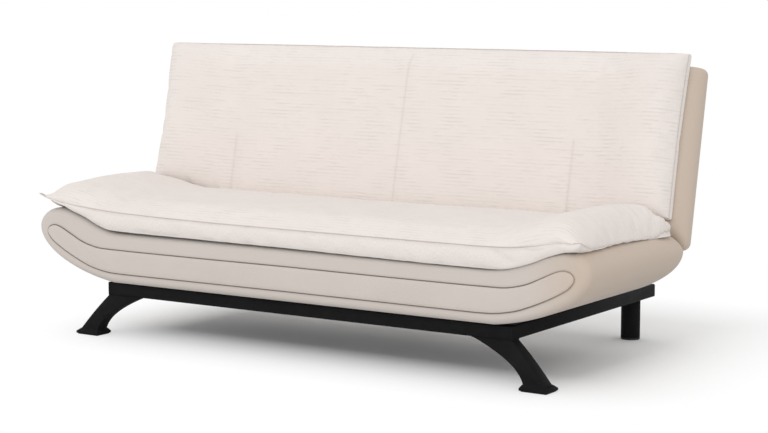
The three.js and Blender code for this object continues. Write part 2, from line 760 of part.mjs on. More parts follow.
// The back arm runs from its toothed hub, round the pivot, to the side rail of the back's frame.
function backArm() {
  const first = ratchet_start_degrees * degrees;
  const pitch = ratchet_pitch_degrees * degrees;
  const last = first + ratchet_teeth * pitch;
  const hub = [];
  for (let k = 0; k < ratchet_teeth; k++) {
    hub.push([ratchet_root, first + k * pitch], [ratchet_tip, first + k * pitch + pitch / 8]);
  }
  const rest = 2 * Math.PI - (last - first);
  const steps = circle_steps / 2;
  for (let k = 0; k <= steps; k++) hub.push([ratchet_root, last + (k / steps) * rest]);
  hub.pop();
  const outline = hub.map(([radius, angle]) => new THREE.Vector2(
    pivot_back + radius * Math.cos(angle), pivot_height + radius * Math.sin(angle)));
  const railDepth = pad_over_slats + slat_thickness + frame_tube_height / 2;
  const elbow = onBack(pivot_up_back + back_arm_elbow_up, railDepth);
  const tail = onBack(pivot_up_back + back_arm_elbow_up + back_arm_tail, railDepth);
  const hole = [pivot_back, pivot_height, pin_radius + bore_clearance];
  const pieces = [plate(outline, back_arm_plane),
    plate(hullOutline([[pivot_back, pivot_height, boss_radius], [...elbow, boss_radius]]), back_arm_plane),
    plate(hullOutline([[...elbow, boss_radius], [...tail, arm_end_radius]]), back_arm_plane)];
  return cut(join(...pieces), bar(hole[2], back_arm_plane - overrun,
    back_arm_plane + plate_thickness + overrun, pivot_back, pivot_height));
}

// The seat arm runs from the pivot down and forwards to the end rail of the seat's frame.
function seatArm() {
  const railHeight = seat_top - pad_over_slats - slat_thickness - frame_tube_height / 2;
  const elbow = [pivot_back - arm_elbow_back, railHeight, boss_radius];
  const tail = [pivot_back - arm_elbow_back - arm_tail, railHeight, arm_end_radius];
  const pieces = [plate(hullOutline([[pivot_back, pivot_height, boss_radius], elbow]), seat_arm_plane),
    plate(hullOutline([elbow, tail]), seat_arm_plane)];
  return cut(join(...pieces), bar(pin_radius + bore_clearance, seat_arm_plane - overrun,
    seat_arm_plane + plate_thickness + overrun, pivot_back, pivot_height));
}

// The pawl is a hooked lever whose nose drops between the ratchet's teeth.
function pawl() {
  const outline = hullOutline([[pawl_back, pawl_height, pawl_boss], [nose_back, nose_height, pawl_nose]]);
  return plate(outline, back_arm_plane, [[pawl_back, pawl_height, pawl_pin_radius + bore_clearance]]);
}

// A round-wire coil on the pawl's pin.
function pawlSpring() {
  const start = back_arm_plane + plate_thickness + running + spring_wire / 2;
  const radius = pawl_pin_radius + touch + spring_wire / 2;
  const middles = Array.from({ length: spring_turns * spring_turn_steps + 1 }, (_, k) => {
    const angle = (k / spring_turn_steps) * 2 * Math.PI;
    return new THREE.Vector3(start + (k / spring_turn_steps) * spring_pitch,
      pawl_back + radius * Math.cos(angle), pawl_height + radius * Math.sin(angle));
  });
  const rings = middles.map((middle, k) => {
    const turnAngle = (k / spring_turn_steps) * 2 * Math.PI;
    const out = new THREE.Vector3(0, Math.cos(turnAngle), Math.sin(turnAngle));
    return Array.from({ length: spring_sides }, (_, s) => {
      const angle = (s / spring_sides) * 2 * Math.PI;
      return middle.clone().addScaledVector(out, (spring_wire / 2) * Math.cos(angle))
        .add(new THREE.Vector3((spring_wire / 2) * Math.sin(angle), 0, 0));
    });
  });
  let least = Infinity;
  middles.forEach((p, i) => middles.slice(i + spring_skipped_steps).forEach((q) => {
    least = Math.min(least, p.distanceTo(q) - spring_wire);
  }));
  console.log("least gap between the coils of the pawl spring", least.toFixed(2), "mm");
  return loft(rings, (p) => new THREE.Vector2(p.x, Math.hypot(p.y - pawl_back, p.z - pawl_height)));
}

// The frame, slats, cover and upholstery of the seat or the back, all in the frame of its face.
function frameRail(start, end, place) {
  const height = -pad_over_slats - slat_thickness - touch - frame_tube_height / 2;
  const tube = tubeAlongX(end - start, frame_tube_width, frame_tube_height, frame_tube_wall, frame_tube_edge);
  return tube.translate(start, place, height);
}

function frameSide(start, end, place) {
  const height = -pad_over_slats - slat_thickness - touch - frame_tube_height / 2;
  const tube = tubeAlongY(end - start, frame_tube_width, frame_tube_height, frame_tube_wall, frame_tube_edge);
  return tube.translate(place, start, height);
}

function slat(half, middle) {
  return box([-half, middle - slat_width / 2, -pad_over_slats - slat_thickness],
    [half, middle + slat_width / 2, -pad_over_slats]);
}

function pocket(start, end, thickness) {
  return box([-pocket_half_length, start, -thickness - overrun],
    [pocket_half_length, end, -pad_over_slats + touch]);
}

function cover(start, end, thickness, slots) {
  const half = pocket_half_length - touch;
  const low = cover_inset - thickness;
  const sheet = box([-half, start + touch, low], [half, end - touch, low + cover_thickness]);
  return cut(sheet, ...slots);
}

// Slots for the mechanism at both ends, between two places along Y and two heights.
function slots(start, end, low, high, margin) {
  return [-1, 1].map((sign) => {
    const sides = [sign * (slot_inner - margin), sign * (slot_outer + margin)];
    return box([Math.min(...sides), start, low], [Math.max(...sides), end, high]);
  });
}

function addSlats(parent, name, half, start, end) {
  const gap = (end - start - slat_count * slat_width) / (slat_count + 1);
  for (let k = 0; k < slat_count; k++) {
    const middle = start + gap + slat_width / 2 + k * (slat_width + gap);
    add(parent, `${name}_slat_${k + 1}`, slat(half, middle), plywood());
  }
}

// Base frame, legs and the fixed half of the mechanism
add(sofa, "base_welded_rail", weldedRail(), black_steel());
add(sofa, "base_rear_rail", rearRail(), black_steel());
add(sofa, "base_centre_brace", centreBrace(), black_steel());

const seat = new THREE.Group();
seat.position.z = seat_top;
sofa.add(seat);

const back = new THREE.Group();
const [back_foot_back, back_foot_height] = onBack(0, 0);
back.position.set(0, back_foot_back, back_foot_height);
back.rotation.x = Math.PI / 2 - back_recline_degrees * degrees;
sofa.add(back);

for (const [side, sign] of [["left", -1], ["right", 1]]) {
  const half = new THREE.Group();
  half.scale.x = sign;
  sofa.add(half);
  add(half, `side_rail_cap_${side}`, railCap(), black_plastic());
  add(half, `front_leg_${side}`, frontLeg(), black_steel());
  add(half, `front_glide_${side}`, frontGlide(), black_rubber());
  add(half, `rear_leg_${side}`, rearLeg(), black_steel());
  add(half, `rear_glide_${side}`, rearGlide(), black_plastic());
  add(half, `rear_leg_bolt_${side}`, bolt(leg_bolt_radius, rear_leg_place, rear_rail_middle,
    base_top + touch, rail_size + leg_bolt_drop), zinc_steel());
  add(half, `seat_buffer_${side}`, seatBuffer(), black_rubber());
  add(half, `base_bracket_${side}`, baseBracket(), black_steel());
  bracket_bolt_places.forEach((y, k) => add(half, `bracket_bolt_${side}_${k + 1}`,
    bolt(bracket_bolt_radius, bracket_plane + bracket_bolt_offset, y,
      base_top + plate_thickness + 2 * touch, bracket_bolt_length), zinc_steel()));
  add(half, `pivot_pin_${side}`, headedPin(pin_radius, pin_head_radius, bracket_plane,
    seat_arm_plane + plate_thickness, pivot_back, pivot_height), zinc_steel());
  add(half, `pawl_${side}`, pawl(), zinc_steel());
  add(half, `pawl_pin_${side}`, headedPin(pawl_pin_radius, pawl_boss - touch, bracket_plane,
    back_arm_plane + plate_thickness + spring_pitch * spring_turns + spring_wire + running,
    pawl_back, pawl_height), zinc_steel());
  add(half, `pawl_spring_${side}`, pawlSpring(), spring_steel());
  add(half, `seat_arm_${side}`, seatArm(), black_steel());
  add(half, `back_arm_${side}`, backArm(), black_steel());
}

// Seat
const seat_rail_inner = seat_arm_plane + plate_thickness + touch;
const seat_side_middle = seat_frame_half_length - frame_tube_width / 2;
const seat_cross_half = seat_arm_plane - touch;
const seat_pocket_end = seat_length - pocket_margin;
add(seat, "seat_front_rail", frameRail(-seat_frame_half_length, seat_frame_half_length,
  seat_frame_front + frame_tube_width / 2), black_steel());
add(seat, "seat_rear_rail", frameRail(-seat_cross_half, seat_cross_half,
  seat_frame_rear - frame_tube_width / 2), black_steel());
for (const [side, sign] of [["left", -1], ["right", 1]]) {
  add(seat, `seat_side_rail_${side}`, frameSide(seat_frame_front + frame_tube_width + touch,
    seat_frame_rear, sign * seat_side_middle), black_steel());
}
addSlats(seat, "seat", seat_frame_half_length, seat_frame_front, seat_frame_rear);
const seat_slots = (margin) => slots(seat_length - slot_seat_length, seat_length + overrun,
  -seat_thickness - overrun, shell_rise + overrun, margin);
add(seat, "seat_dust_cover", cover(pocket_margin, seat_pocket_end, seat_thickness,
  seat_slots(touch)), lining());
add(seat, "seat_upholstery", cut(
  shellBody(seat_length, seat_thickness, seat_front_round, hinge_end_round, 0, seat_mitre_share),
  pocket(pocket_margin, seat_pocket_end, seat_thickness), ...seat_slots(0)), shell_fabric());
add(seat, "seat_topper", topper({
  start: () => -seat_topper_front,
  end: (x) => seat_length - seat_topper_rear - seat_topper_rear_retreat * riseShare(x),
  thickness: seat_topper_thickness,
  thinning: seat_topper_thinning,
  edge: seat_topper_edge,
  crown: seat_topper_crown,
  seamLift: seat_topper_seam_lift,
  pull: seat_topper_corner_pull,
  sink: seat_topper_front_sink,
  channels: [],
}), topper_fabric());

// Back
const back_side_inner = back_arm_plane + plate_thickness + touch;
const back_side_middle = back_side_inner + frame_tube_width / 2;
const back_side_outer = back_side_inner + frame_tube_width;
const back_cross_half = back_arm_plane - touch;
const back_pocket_end = back_length - pocket_margin;
add(back, "back_lower_rail", frameRail(-back_cross_half, back_cross_half,
  back_frame_start + frame_tube_width / 2), black_steel());
add(back, "back_upper_rail", frameRail(-back_side_outer, back_side_outer,
  back_frame_end - frame_tube_width / 2), black_steel());
for (const [side, sign] of [["left", -1], ["right", 1]]) {
  add(back, `back_side_rail_${side}`, frameSide(back_frame_start,
    back_frame_end - frame_tube_width - touch, sign * back_side_middle), black_steel());
}
addSlats(back, "back", back_side_outer, back_frame_start, back_frame_end);
const back_pocket_start = back_frame_start - pocket_margin / 2;
add(back, "back_rear_cover", cover(back_pocket_start, back_pocket_end, back_thickness, []),
  shell_fabric());
add(back, "back_upholstery", cut(
  shellBody(back_length, back_thickness, hinge_end_round, back_top_round, back_mitre_share, 0),
  pocket(back_pocket_start, back_pocket_end, back_thickness),
  ...slots(-overrun, slot_back_end, -slot_back_depth, shell_rise + overrun, 0)), shell_fabric());
add(back, "back_topper", cut(topper({
  start: (x) => back_topper_start + back_topper_start_retreat * riseShare(x),
  end: (x) => back_length + back_topper_top - back_topper_top_retreat * riseShare(x),
  thickness: back_topper_thickness,
  thinning: 0,
  edge: back_topper_edge,
  crown: back_topper_crown,
  seamLift: back_topper_seam_lift,
  pull: back_topper_corner_pull,
  sink: 0,
  channels: [0, channel_spacing],
}), ...slots(-overrun, notch_back_topper, -overrun,
  shell_rise + back_topper_thickness + 4 * overrun, 0)), topper_fabric());

sofa.updateMatrixWorld(true);
const extent = new THREE.Box3().setFromObject(sofa, true);
sofa.position.y = -(extent.min.y + extent.max.y) / 2;

export default sofa;
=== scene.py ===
# %% [markdown]
# # A click clack sofa bed
# The sofa has a boat-shaped seat and a boat-shaped back, both tightly covered in a plain weave.
# On each lies a thick, softly filled topper in a paler corded cloth. Under them stands a base of
# black square tube on two cast legs and two round ones. The solid model gives every part its
# place, and this script dresses it: the soft pieces are made anew, the steel keeps its solids,
# and everything gets a finish. Lengths are in metres.

# %% Load the solid model
import json
import math

import bpy
import numpy as np
from mathutils import Matrix, Vector
from mathutils.geometry import interpolate_bezier


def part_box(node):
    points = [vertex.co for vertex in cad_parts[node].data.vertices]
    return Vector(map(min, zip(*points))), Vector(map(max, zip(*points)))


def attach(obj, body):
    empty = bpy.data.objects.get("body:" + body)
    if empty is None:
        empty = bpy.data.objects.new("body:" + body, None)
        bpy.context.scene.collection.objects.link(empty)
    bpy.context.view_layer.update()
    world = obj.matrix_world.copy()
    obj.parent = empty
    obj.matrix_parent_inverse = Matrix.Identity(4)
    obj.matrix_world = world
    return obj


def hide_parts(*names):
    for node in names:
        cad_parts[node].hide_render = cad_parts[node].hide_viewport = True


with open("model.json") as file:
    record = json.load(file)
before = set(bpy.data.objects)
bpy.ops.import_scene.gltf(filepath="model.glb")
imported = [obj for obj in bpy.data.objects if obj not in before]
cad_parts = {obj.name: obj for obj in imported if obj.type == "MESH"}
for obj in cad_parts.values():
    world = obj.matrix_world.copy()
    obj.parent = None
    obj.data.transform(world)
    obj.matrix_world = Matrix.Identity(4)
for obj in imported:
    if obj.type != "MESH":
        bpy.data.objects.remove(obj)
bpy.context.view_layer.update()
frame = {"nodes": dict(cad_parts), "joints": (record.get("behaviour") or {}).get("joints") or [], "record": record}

nodes = frame["nodes"]

# %% [markdown]
# ## Places
# The seat and the back are made lying flat, with their front or foot at zero and their
# upholstered face at height zero, because that is how an upholsterer works on them. Two
# directions and a foot point, worked out from the pivot, later stand the back up in its place.

# %% Measures of the two boats
seat_low, seat_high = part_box("seat_upholstery")
seat_front = seat_low.y
half_length = seat_high.x
shell_rise = 0.063  # how far a boat's ends rise above its flat face
seat_face = seat_high.z - shell_rise
seat_depth = seat_face - seat_low.z
seat_length = seat_high.y - seat_low.y
back_length, back_depth = 0.540, 0.157
recline = math.radians(11.8)
rise_start, rise_end, flat_under = 0.660, 0.900, 0.690  # half lengths
pivot_up, pivot_behind = 0.0283, 0.012  # from the foot of the back's face to the pivot
pivot = Vector(next(j for j in frame["joints"] if j["name"] == "back_recline")["pos_m"])
up_back = Vector((0, math.sin(recline), math.cos(recline)))
out_of_back = Vector((0, -math.cos(recline), math.sin(recline)))
back_foot = pivot - pivot_up * up_back + pivot_behind * out_of_back
topper_gap = 0.0016  # between a topper and the face that it lies on


def clamped(value):
    return min(max(value, 0), 1)


def share_of(value, start, end):
    """0 before start, 1 after end and smooth in between."""
    t = clamped((value - start) / (end - start))
    return t * t * (3 - 2 * t)


def rise_at(x):
    """How far the face of a boat has risen at a place along the sofa, from 0 to 1."""
    return share_of(abs(x), rise_start, rise_end)


def face_at(x):
    """Height of the face over its flat part. It rounds off past the end of the rise."""
    past = clamped((abs(x) - rise_end) / (half_length - rise_end))
    return shell_rise * rise_at(x) * math.sqrt(1 - past * past)


print("seat face at", round(seat_face, 3), "m, back foot at", [round(v, 3) for v in back_foot])

# %% [markdown]
# ## Working tools
# Operators act on whatever is selected. These helpers select one piece, apply a modifier or a cut
# to it, and settle it: it ends up untransformed, with its faces turned outwards.

# %% Selecting and finishing
def nothing_selected():
    if bpy.context.mode != "OBJECT":
        bpy.ops.object.mode_set(mode="OBJECT")
    bpy.ops.object.select_all(action="DESELECT")


def take(piece):
    nothing_selected()
    piece.select_set(True)
    bpy.context.view_layer.objects.active = piece


def added(operator, **settings):
    """What one of Blender's add operators makes."""
    nothing_selected()
    operator(**settings)
    return bpy.context.object


def settle(piece):
    """Leaves a piece untransformed at the origin, with its faces pointing out."""
    take(piece)
    bpy.ops.object.transform_apply()
    bpy.ops.object.mode_set(mode="EDIT")
    bpy.ops.mesh.select_all(action="SELECT")
    bpy.ops.mesh.normals_make_consistent()
    bpy.ops.object.mode_set(mode="OBJECT")


def add_modifier(piece, kind, **settings):
    step = piece.modifiers.new(kind.lower(), kind)
    for name, value in settings.items():
        setattr(step, name, value)
    return step


def apply_modifier(piece, kind, **settings):
    take(piece)
    bpy.ops.object.modifier_apply(modifier=add_modifier(piece, kind, **settings).name)


def box_from(low, high):
    """A box between two corners, made to cut with."""
    middle = [(a + b) / 2 for a, b in zip(low, high)]
    cutter = added(bpy.ops.mesh.primitive_cube_add, size=1, location=middle)
    cutter.scale = [b - a for a, b in zip(low, high)]
    bpy.ops.object.transform_apply()
    return cutter


def cut_with(piece, cutter):
    apply_modifier(piece, "BOOLEAN", object=cutter, operation="DIFFERENCE", solver="EXACT")
    bpy.data.objects.remove(cutter)


def size_of(piece):
    places = np.array([v.co for v in piece.data.vertices])
    return [round(float(length), 3) for length in np.ptp(places, axis=0)]


# %% [markdown]
# ## Finishes
# Every finish is a node material. One class adds the nodes that all of them need. A second one
# starts a material with them, and chains small surface heights into one bump.

# %% Starting a material
def opaque(colour):
    """A colour of three values gets its fourth. A socket stays as it is."""
    return (*colour, 1) if isinstance(colour, tuple) and len(colour) == 3 else colour


class Nodes:
    """A tree of nodes, with short ways to add to it."""

    def __init__(self, tree):
        self.tree = tree

    def node(self, kind, inputs=None, **settings):
        made = self.tree.nodes.new("ShaderNode" + kind)
        for name, value in settings.items():
            setattr(made, name, value)
        for name, value in (inputs or {}).items():
            self.put(made.inputs[name], value)
        return made

    def put(self, socket, value):
        if isinstance(value, bpy.types.NodeSocket):
            self.tree.links.new(value, socket)
        else:
            socket.default_value = value

    def math(self, operation, a, b=0.0, clamp=False):
        return self.node("Math", {0: a, 1: b}, operation=operation, use_clamp=clamp).outputs[0]

    def noise(self, place, scale, detail=2.0, roughness=0.5):
        return self.node("TexNoise", {"Vector": place, "Scale": scale,
                         "Detail": detail, "Roughness": roughness}).outputs["Fac"]

    def wave(self, place, pitch, direction, distortion=0.0, grain=1.0):
        """Soft bands that repeat at a pitch in metres: the node has 20 of them in 2 pi."""
        return self.node("TexWave", {"Vector": place, "Scale": 0.31416 / pitch,
                         "Distortion": distortion, "Detail": 1.0, "Detail Scale": grain},
                         bands_direction=direction).outputs["Fac"]

    def drawn_out(self, place, scales):
        """A place to read a noise at, so that its spots become streaks."""
        return self.node("Mapping", {"Vector": place, "Scale": scales}).outputs[0]

    def attribute(self, name):
        return self.node("Attribute", attribute_name=name).outputs["Fac"]

    def ramp(self, value, *stops):
        """Colours or greys at places from 0 to 1."""
        made = self.node("ValToRGB", {"Fac": value})
        marks = made.color_ramp.elements
        while len(marks) < len(stops):
            marks.new(0.5)
        for mark, (place, colour) in zip(marks, stops):
            mark.position = place
            mark.color = opaque(colour if isinstance(colour, tuple) else (colour,) * 3)
        return made.outputs["Color"]

    def mix(self, factor, a, b, blend="MIX"):
        made = self.node("Mix", data_type="RGBA", blend_type=blend)
        self.put(made.inputs[0], factor)
        self.put(made.inputs[6], opaque(a))
        self.put(made.inputs[7], opaque(b))
        return made.outputs[2]


class Finish(Nodes):
    """A material being built, with its main shader and its chain of bumps."""

    def __init__(self, name, roughness, metallic=0.0, sheen=0.0, specular=0.5):
        self.material = bpy.data.materials.new(name)
        self.material.use_nodes = True
        super().__init__(self.material.node_tree)
        self.shader = self.tree.nodes["Principled BSDF"]
        for socket, value in (("Roughness", roughness), ("Metallic", metallic),
                              ("Sheen Weight", sheen), ("Sheen Roughness", 0.45),
                              ("Specular IOR Level", specular)):
            self.shader.inputs[socket].default_value = value
        self.height = None

    def bump(self, height, depth, strength):
        made = self.node("Bump", {"Height": height, "Distance": depth, "Strength": strength})
        if self.height is not None:
            self.put(made.inputs["Normal"], self.height)
        self.height = made.outputs["Normal"]
        self.put(self.shader.inputs["Normal"], self.height)

    def colour(self, value):
        self.put(self.shader.inputs["Base Color"], value)

    def rough(self, value):
        self.put(self.shader.inputs["Roughness"], value)

    def uv(self):
        return self.node("TexCoord").outputs["UV"]

    def place(self):
        return self.node("TexCoord").outputs["Object"]

    def worn_edges(self, radius):
        """1 on sharp outer edges, 0 on flats."""
        geometry = self.node("Bevel", {"Radius": radius}, samples=4)
        plain = self.node("NewGeometry").outputs["Normal"]
        dot = self.node("VectorMath", {0: geometry.outputs[0], 1: plain}, operation="DOT_PRODUCT")
        return self.math("SUBTRACT", 1.0, dot.outputs["Value"], clamp=True)


def srgb(r, g, b):
    """A colour as it is read on a screen, from 0 to 255, turned into light."""
    return tuple((c / 255 / 12.92) if c <= 10 else ((c / 255 + 0.055) / 1.055) ** 2.4
                 for c in (r, g, b))


# %% [markdown]
# ### The plain weave of the two boats
# The cover is a heathered plain weave in a warm grey. Its UV map is in metres, so its threads are
# 1.3 mm apart wherever they lie. Two sets of bands crossed by their greater height make the
# over-and-under of the weave. A fine noise mixes the yarn's two shades, and a slow one makes the
# foam underneath a little uneven. Towards the right end the cloth is painted warmer and darker,
# which is painted shade for that end of the sofa.

# %% Weave for the boats
def weave_finish(name, dark, light, thread=0.0013, unevenness=0.0016):
    cloth = Finish(name, 0.93, sheen=0.12, specular=0.25)
    uv = cloth.uv()
    warp, weft = (cloth.wave(uv, thread, way, distortion=0.35, grain=2.0) for way in "XY")
    threads = cloth.math("MAXIMUM", warp, weft)
    slub = cloth.noise(uv, 260.0, 3.0, 0.65)
    heather = cloth.noise(uv, 900.0, 2.0, 0.6)
    patches = cloth.noise(uv, 5.0, 3.0, 0.6)
    shade = cloth.ramp(heather, (0.30, dark), (0.68, light))
    shade = cloth.mix(cloth.ramp(slub, (0.35, 0.0), (0.75, 0.45)), shade, light)
    shade = cloth.mix(0.16, shade, cloth.ramp(patches, (0.3, 0.72), (0.7, 1.0)), "MULTIPLY")
    holes = cloth.ramp(threads, (0.05, 0.66), (0.6, 1.0))
    along = cloth.node("SeparateXYZ", {"Vector": cloth.place()}).outputs["X"]
    # painted shade: the cloth turns warmer and darker towards the right end of the sofa
    painted_end_shade = cloth.ramp(along, (0.80, 0.0), (0.97, 0.55))
    shade = cloth.mix(painted_end_shade, shade, srgb(212, 188, 164))
    cloth.colour(cloth.mix(0.55, shade, holes, "MULTIPLY"))
    cloth.bump(cloth.noise(cloth.place(), 4.5, 2.0), unevenness, 0.55)
    cloth.bump(slub, 0.0004, 0.5)
    cloth.bump(threads, 0.0005, 0.7)
    return cloth.material


boat_cloth = weave_finish("boat_cloth", srgb(208, 198, 190), srgb(238, 229, 221))
panel_cloth = weave_finish("panel_cloth", srgb(199, 189, 182), srgb(229, 219, 212))
welt_cloth = weave_finish("welt_cloth", srgb(112, 102, 96), srgb(138, 127, 119),
                          unevenness=0.0002)
print("boat cloths made")

# %% [markdown]
# ### The corded cloth of the toppers
# Soft ribs 11.7 mm apart run along the sofa, crossed by fine threads. They are flattened in
# places, so a broad noise and a streaky one fade them. Three attributes come from the mesh:
# "seam" paints shade on the cloth at a seam and along the quilted lines, "stitch" is 1 where
# thread shows, and "under" rises to 1 where the lower side of the seat's topper gets a dark
# lining colour, which is painted shade for the shadow line where the topper meets its boat.

# %% Corded cloth
def corded_finish(name, dark, light, rib=0.0117, thread=0.0012, stitch=0.0045):
    cloth = Finish(name, 0.95, sheen=0.18, specular=0.2)
    uv = cloth.uv()
    ribs = cloth.wave(uv, rib, "Y", distortion=0.25, grain=1.5)
    groove = cloth.ramp(ribs, (0.0, 0.0), (0.28, 0.75), (1.0, 1.0))
    broad = cloth.ramp(cloth.noise(uv, 9.0, 3.0, 0.6), (0.40, 0.25), (0.60, 1.0))
    streaks = cloth.noise(cloth.drawn_out(uv, (13.0, 42.0, 1.0)), 1.0, 2.0, 0.6)
    short = cloth.ramp(streaks, (0.44, 0.10), (0.56, 1.0))
    worn = cloth.math("MULTIPLY", broad, short)
    threads = cloth.wave(uv, thread, "X", distortion=0.4)
    pile = cloth.noise(uv, 700.0, 3.0, 0.7)
    clouds = cloth.noise(uv, 6.0, 3.0, 0.6)
    shade = cloth.ramp(pile, (0.28, dark), (0.66, light))
    shade = cloth.mix(0.10, shade, cloth.ramp(clouds, (0.3, 0.7), (0.7, 1.0)), "MULTIPLY")
    lines = cloth.mix(worn, (1, 1, 1), cloth.ramp(groove, (0.0, 0.86), (0.9, 1.0)))
    shade = cloth.mix(0.75, shade, lines, "MULTIPLY")
    # painted shade: the cloth is darkened at the seams and along the quilted lines
    painted_seam_shade = cloth.math("MULTIPLY", cloth.attribute("seam"), 0.75, clamp=True)
    shade = cloth.mix(painted_seam_shade, shade, srgb(150, 139, 131))
    dashes = cloth.ramp(cloth.wave(uv, stitch, "DIAGONAL"), (0.35, 0.0), (0.5, 1.0))
    stitched = cloth.ramp(cloth.attribute("stitch"), (0.6, 0.0), (0.9, 1.0))
    sewn = cloth.math("MULTIPLY", stitched, dashes)
    shade = cloth.mix(cloth.math("MULTIPLY", sewn, 0.24), shade, srgb(196, 186, 178))
    # painted shade: a dark lining colour on the lower edge of the seat's topper stands in for the shadow line
    # between topper and boat
    lining = cloth.ramp(cloth.attribute("under"), (0.955, 0.0), (0.985, 1.0))
    cloth.colour(cloth.mix(lining, shade, srgb(44, 38, 34)))
    cloth.bump(cloth.noise(cloth.place(), 5.5, 2.0), 0.0016, 0.5)
    cloth.bump(cloth.math("MULTIPLY", groove, worn), 0.0009, 0.6)
    cloth.bump(pile, 0.0004, 0.5)
    cloth.bump(threads, 0.0003, 0.4)
    cloth.bump(sewn, 0.0006, 0.8)
    return cloth.material


topper_cloth = corded_finish("topper_cloth", srgb(224, 215, 209), srgb(243, 235, 230))
# a darker copy of the topper's cloth for its welts: painted shade standing in for the thin shadow line at the seam
shaded_topper_welt = corded_finish("shaded_topper_welt", srgb(196, 186, 178), srgb(222, 213, 206))
print("topper cloths made")

# %% [markdown]
# ### Painted and bare steel, rubber, plastic, plywood and lining
# The powder coat is a satin black with fine orange peel, a shade lighter where edges have rubbed.
# The fittings are zinc plated, with a drawn grain. The slats are birch plywood, and the lining
# under the seat is a black non-woven of pressed fibres.

# %% Metals
def lifted(colour, times, more):
    """The same colour, multiplied and then raised."""
    return tuple(c * times + more for c in colour)


def powder_coat(name, colour):
    coat = Finish(name, 0.55, specular=0.04)
    place = coat.place()
    peel = coat.noise(place, 420.0, 2.0)
    dust = coat.noise(place, 14.0, 4.0, 0.65)
    shade = coat.mix(coat.ramp(dust, (0.42, 0.0), (0.78, 0.35)), colour,
                     lifted(colour, 1.7, 0.006))
    edges = coat.ramp(coat.worn_edges(0.0018), (0.04, 0.0), (0.30, 0.55))
    coat.colour(coat.mix(edges, shade, lifted(colour, 2.2, 0.012)))
    coat.rough(coat.ramp(dust, (0.3, 0.50), (0.8, 0.64)))
    coat.bump(peel, 0.0002, 0.35)
    return coat.material


def plated_steel(name, colour, roughness):
    steel = Finish(name, roughness, metallic=1.0)
    place = steel.place()
    drawn = steel.noise(steel.drawn_out(place, (30.0, 900.0, 900.0)), 1.0, 2.0)
    bloom = steel.noise(place, 60.0, 4.0, 0.7)
    steel.colour(steel.mix(steel.ramp(bloom, (0.4, 0.0), (0.75, 0.5)), colour,
                           lifted(colour, 0.72, 0.0)))
    steel.rough(steel.ramp(drawn, (0.3, roughness * 0.8), (0.7, roughness * 1.3)))
    steel.bump(drawn, 0.0001, 0.3)
    return steel.material


black_steel = powder_coat("black_powder_coat", srgb(26, 26, 27))
zinc = plated_steel("zinc_plate", srgb(196, 198, 200), 0.34)
spring_wire = plated_steel("spring_wire", srgb(142, 146, 150), 0.26)


# %% Rubber, plastic, plywood and lining
def moulded(name, colour, roughness, grain):
    skin = Finish(name, roughness, specular=0.4)
    place = skin.place()
    dust = skin.noise(place, 35.0, 4.0, 0.7)
    skin.colour(skin.mix(skin.ramp(dust, (0.45, 0.0), (0.8, 0.5)), colour,
                         lifted(colour, 2.0, 0.01)))
    skin.rough(skin.ramp(dust, (0.3, roughness * 0.85), (0.8, min(roughness * 1.2, 1.0))))
    skin.bump(skin.noise(place, grain, 2.0), 0.0002, 0.5)
    return skin.material


def birch_plywood(name):
    ply = Finish(name, 0.62, specular=0.3)
    place = ply.place()
    figure = ply.noise(ply.drawn_out(place, (1.6, 34.0, 34.0)), 3.0, 5.0, 0.65)
    pores = ply.noise(ply.drawn_out(place, (16.0, 420.0, 420.0)), 2.0, 3.0)
    shade = ply.ramp(figure, (0.28, srgb(196, 163, 118)), (0.5, srgb(221, 194, 150)),
                     (0.74, srgb(232, 210, 171)))
    ply.colour(ply.mix(0.35, shade, ply.ramp(pores, (0.35, 0.6), (0.6, 1.0)), "MULTIPLY"))
    ply.bump(pores, 0.0003, 0.4)
    return ply.material


def pressed_lining(name):
    felt = Finish(name, 0.97, sheen=0.1, specular=0.15)
    place = felt.place()
    fibres = felt.noise(place, 520.0, 4.0, 0.75)
    dots = felt.node("TexVoronoi", {"Vector": place, "Scale": 420.0}).outputs["Distance"]
    felt.colour(felt.ramp(fibres, (0.3, srgb(24, 24, 26)), (0.75, srgb(52, 52, 55))))
    felt.bump(fibres, 0.0005, 0.6)
    felt.bump(dots, 0.0003, 0.5)
    return felt.material


finishes = {
    "black_steel": black_steel,
    "zinc_steel": zinc,
    "spring_steel": spring_wire,
    "black_rubber": moulded("black_rubber", srgb(22, 22, 22), 0.82, 260.0),
    "black_plastic": moulded("black_plastic", srgb(27, 27, 29), 0.5, 700.0),
    "plywood": birch_plywood("birch_plywood"),
    "shell_fabric": boat_cloth,
    "lining": pressed_lining("pressed_lining"),
}
print("finishes made:", ", ".join(finishes))

# %% [markdown]
# ## The steel, the slats and the small parts
# These solids have their real shapes already, and each gets its finish. A Weld modifier joins the
# loose triangles, and a Bevel takes the edges off and keeps the normals of the flats, so curved
# parts read as curved. The modifiers stay on the solid, whose own mesh is never touched.

# %% Dress the solids
slot_of = {s["node"]: s["material_slot"] for s in frame["record"]["subparts"]}
for name, solid in nodes.items():
    finish = finishes.get(slot_of[name])
    if finish is None:
        continue
    solid.data.materials.clear()
    solid.data.materials.append(finish)
    if slot_of[name] in ("shell_fabric", "lining"):
        continue  # a soft solid, which a piece made further on replaces
    solid.data.polygons.foreach_set("use_smooth", [True] * len(solid.data.polygons))
    add_modifier(solid, "WELD", merge_threshold=0.00002)
    add_modifier(solid, "BEVEL", width=0.0016 if slot_of[name] == "black_steel" else 0.0003,
                 segments=2, limit_method="ANGLE", angle_limit=math.radians(40),
                 harden_normals=True, use_clamp_overlap=True)
print("dressed", len(nodes), "solids")

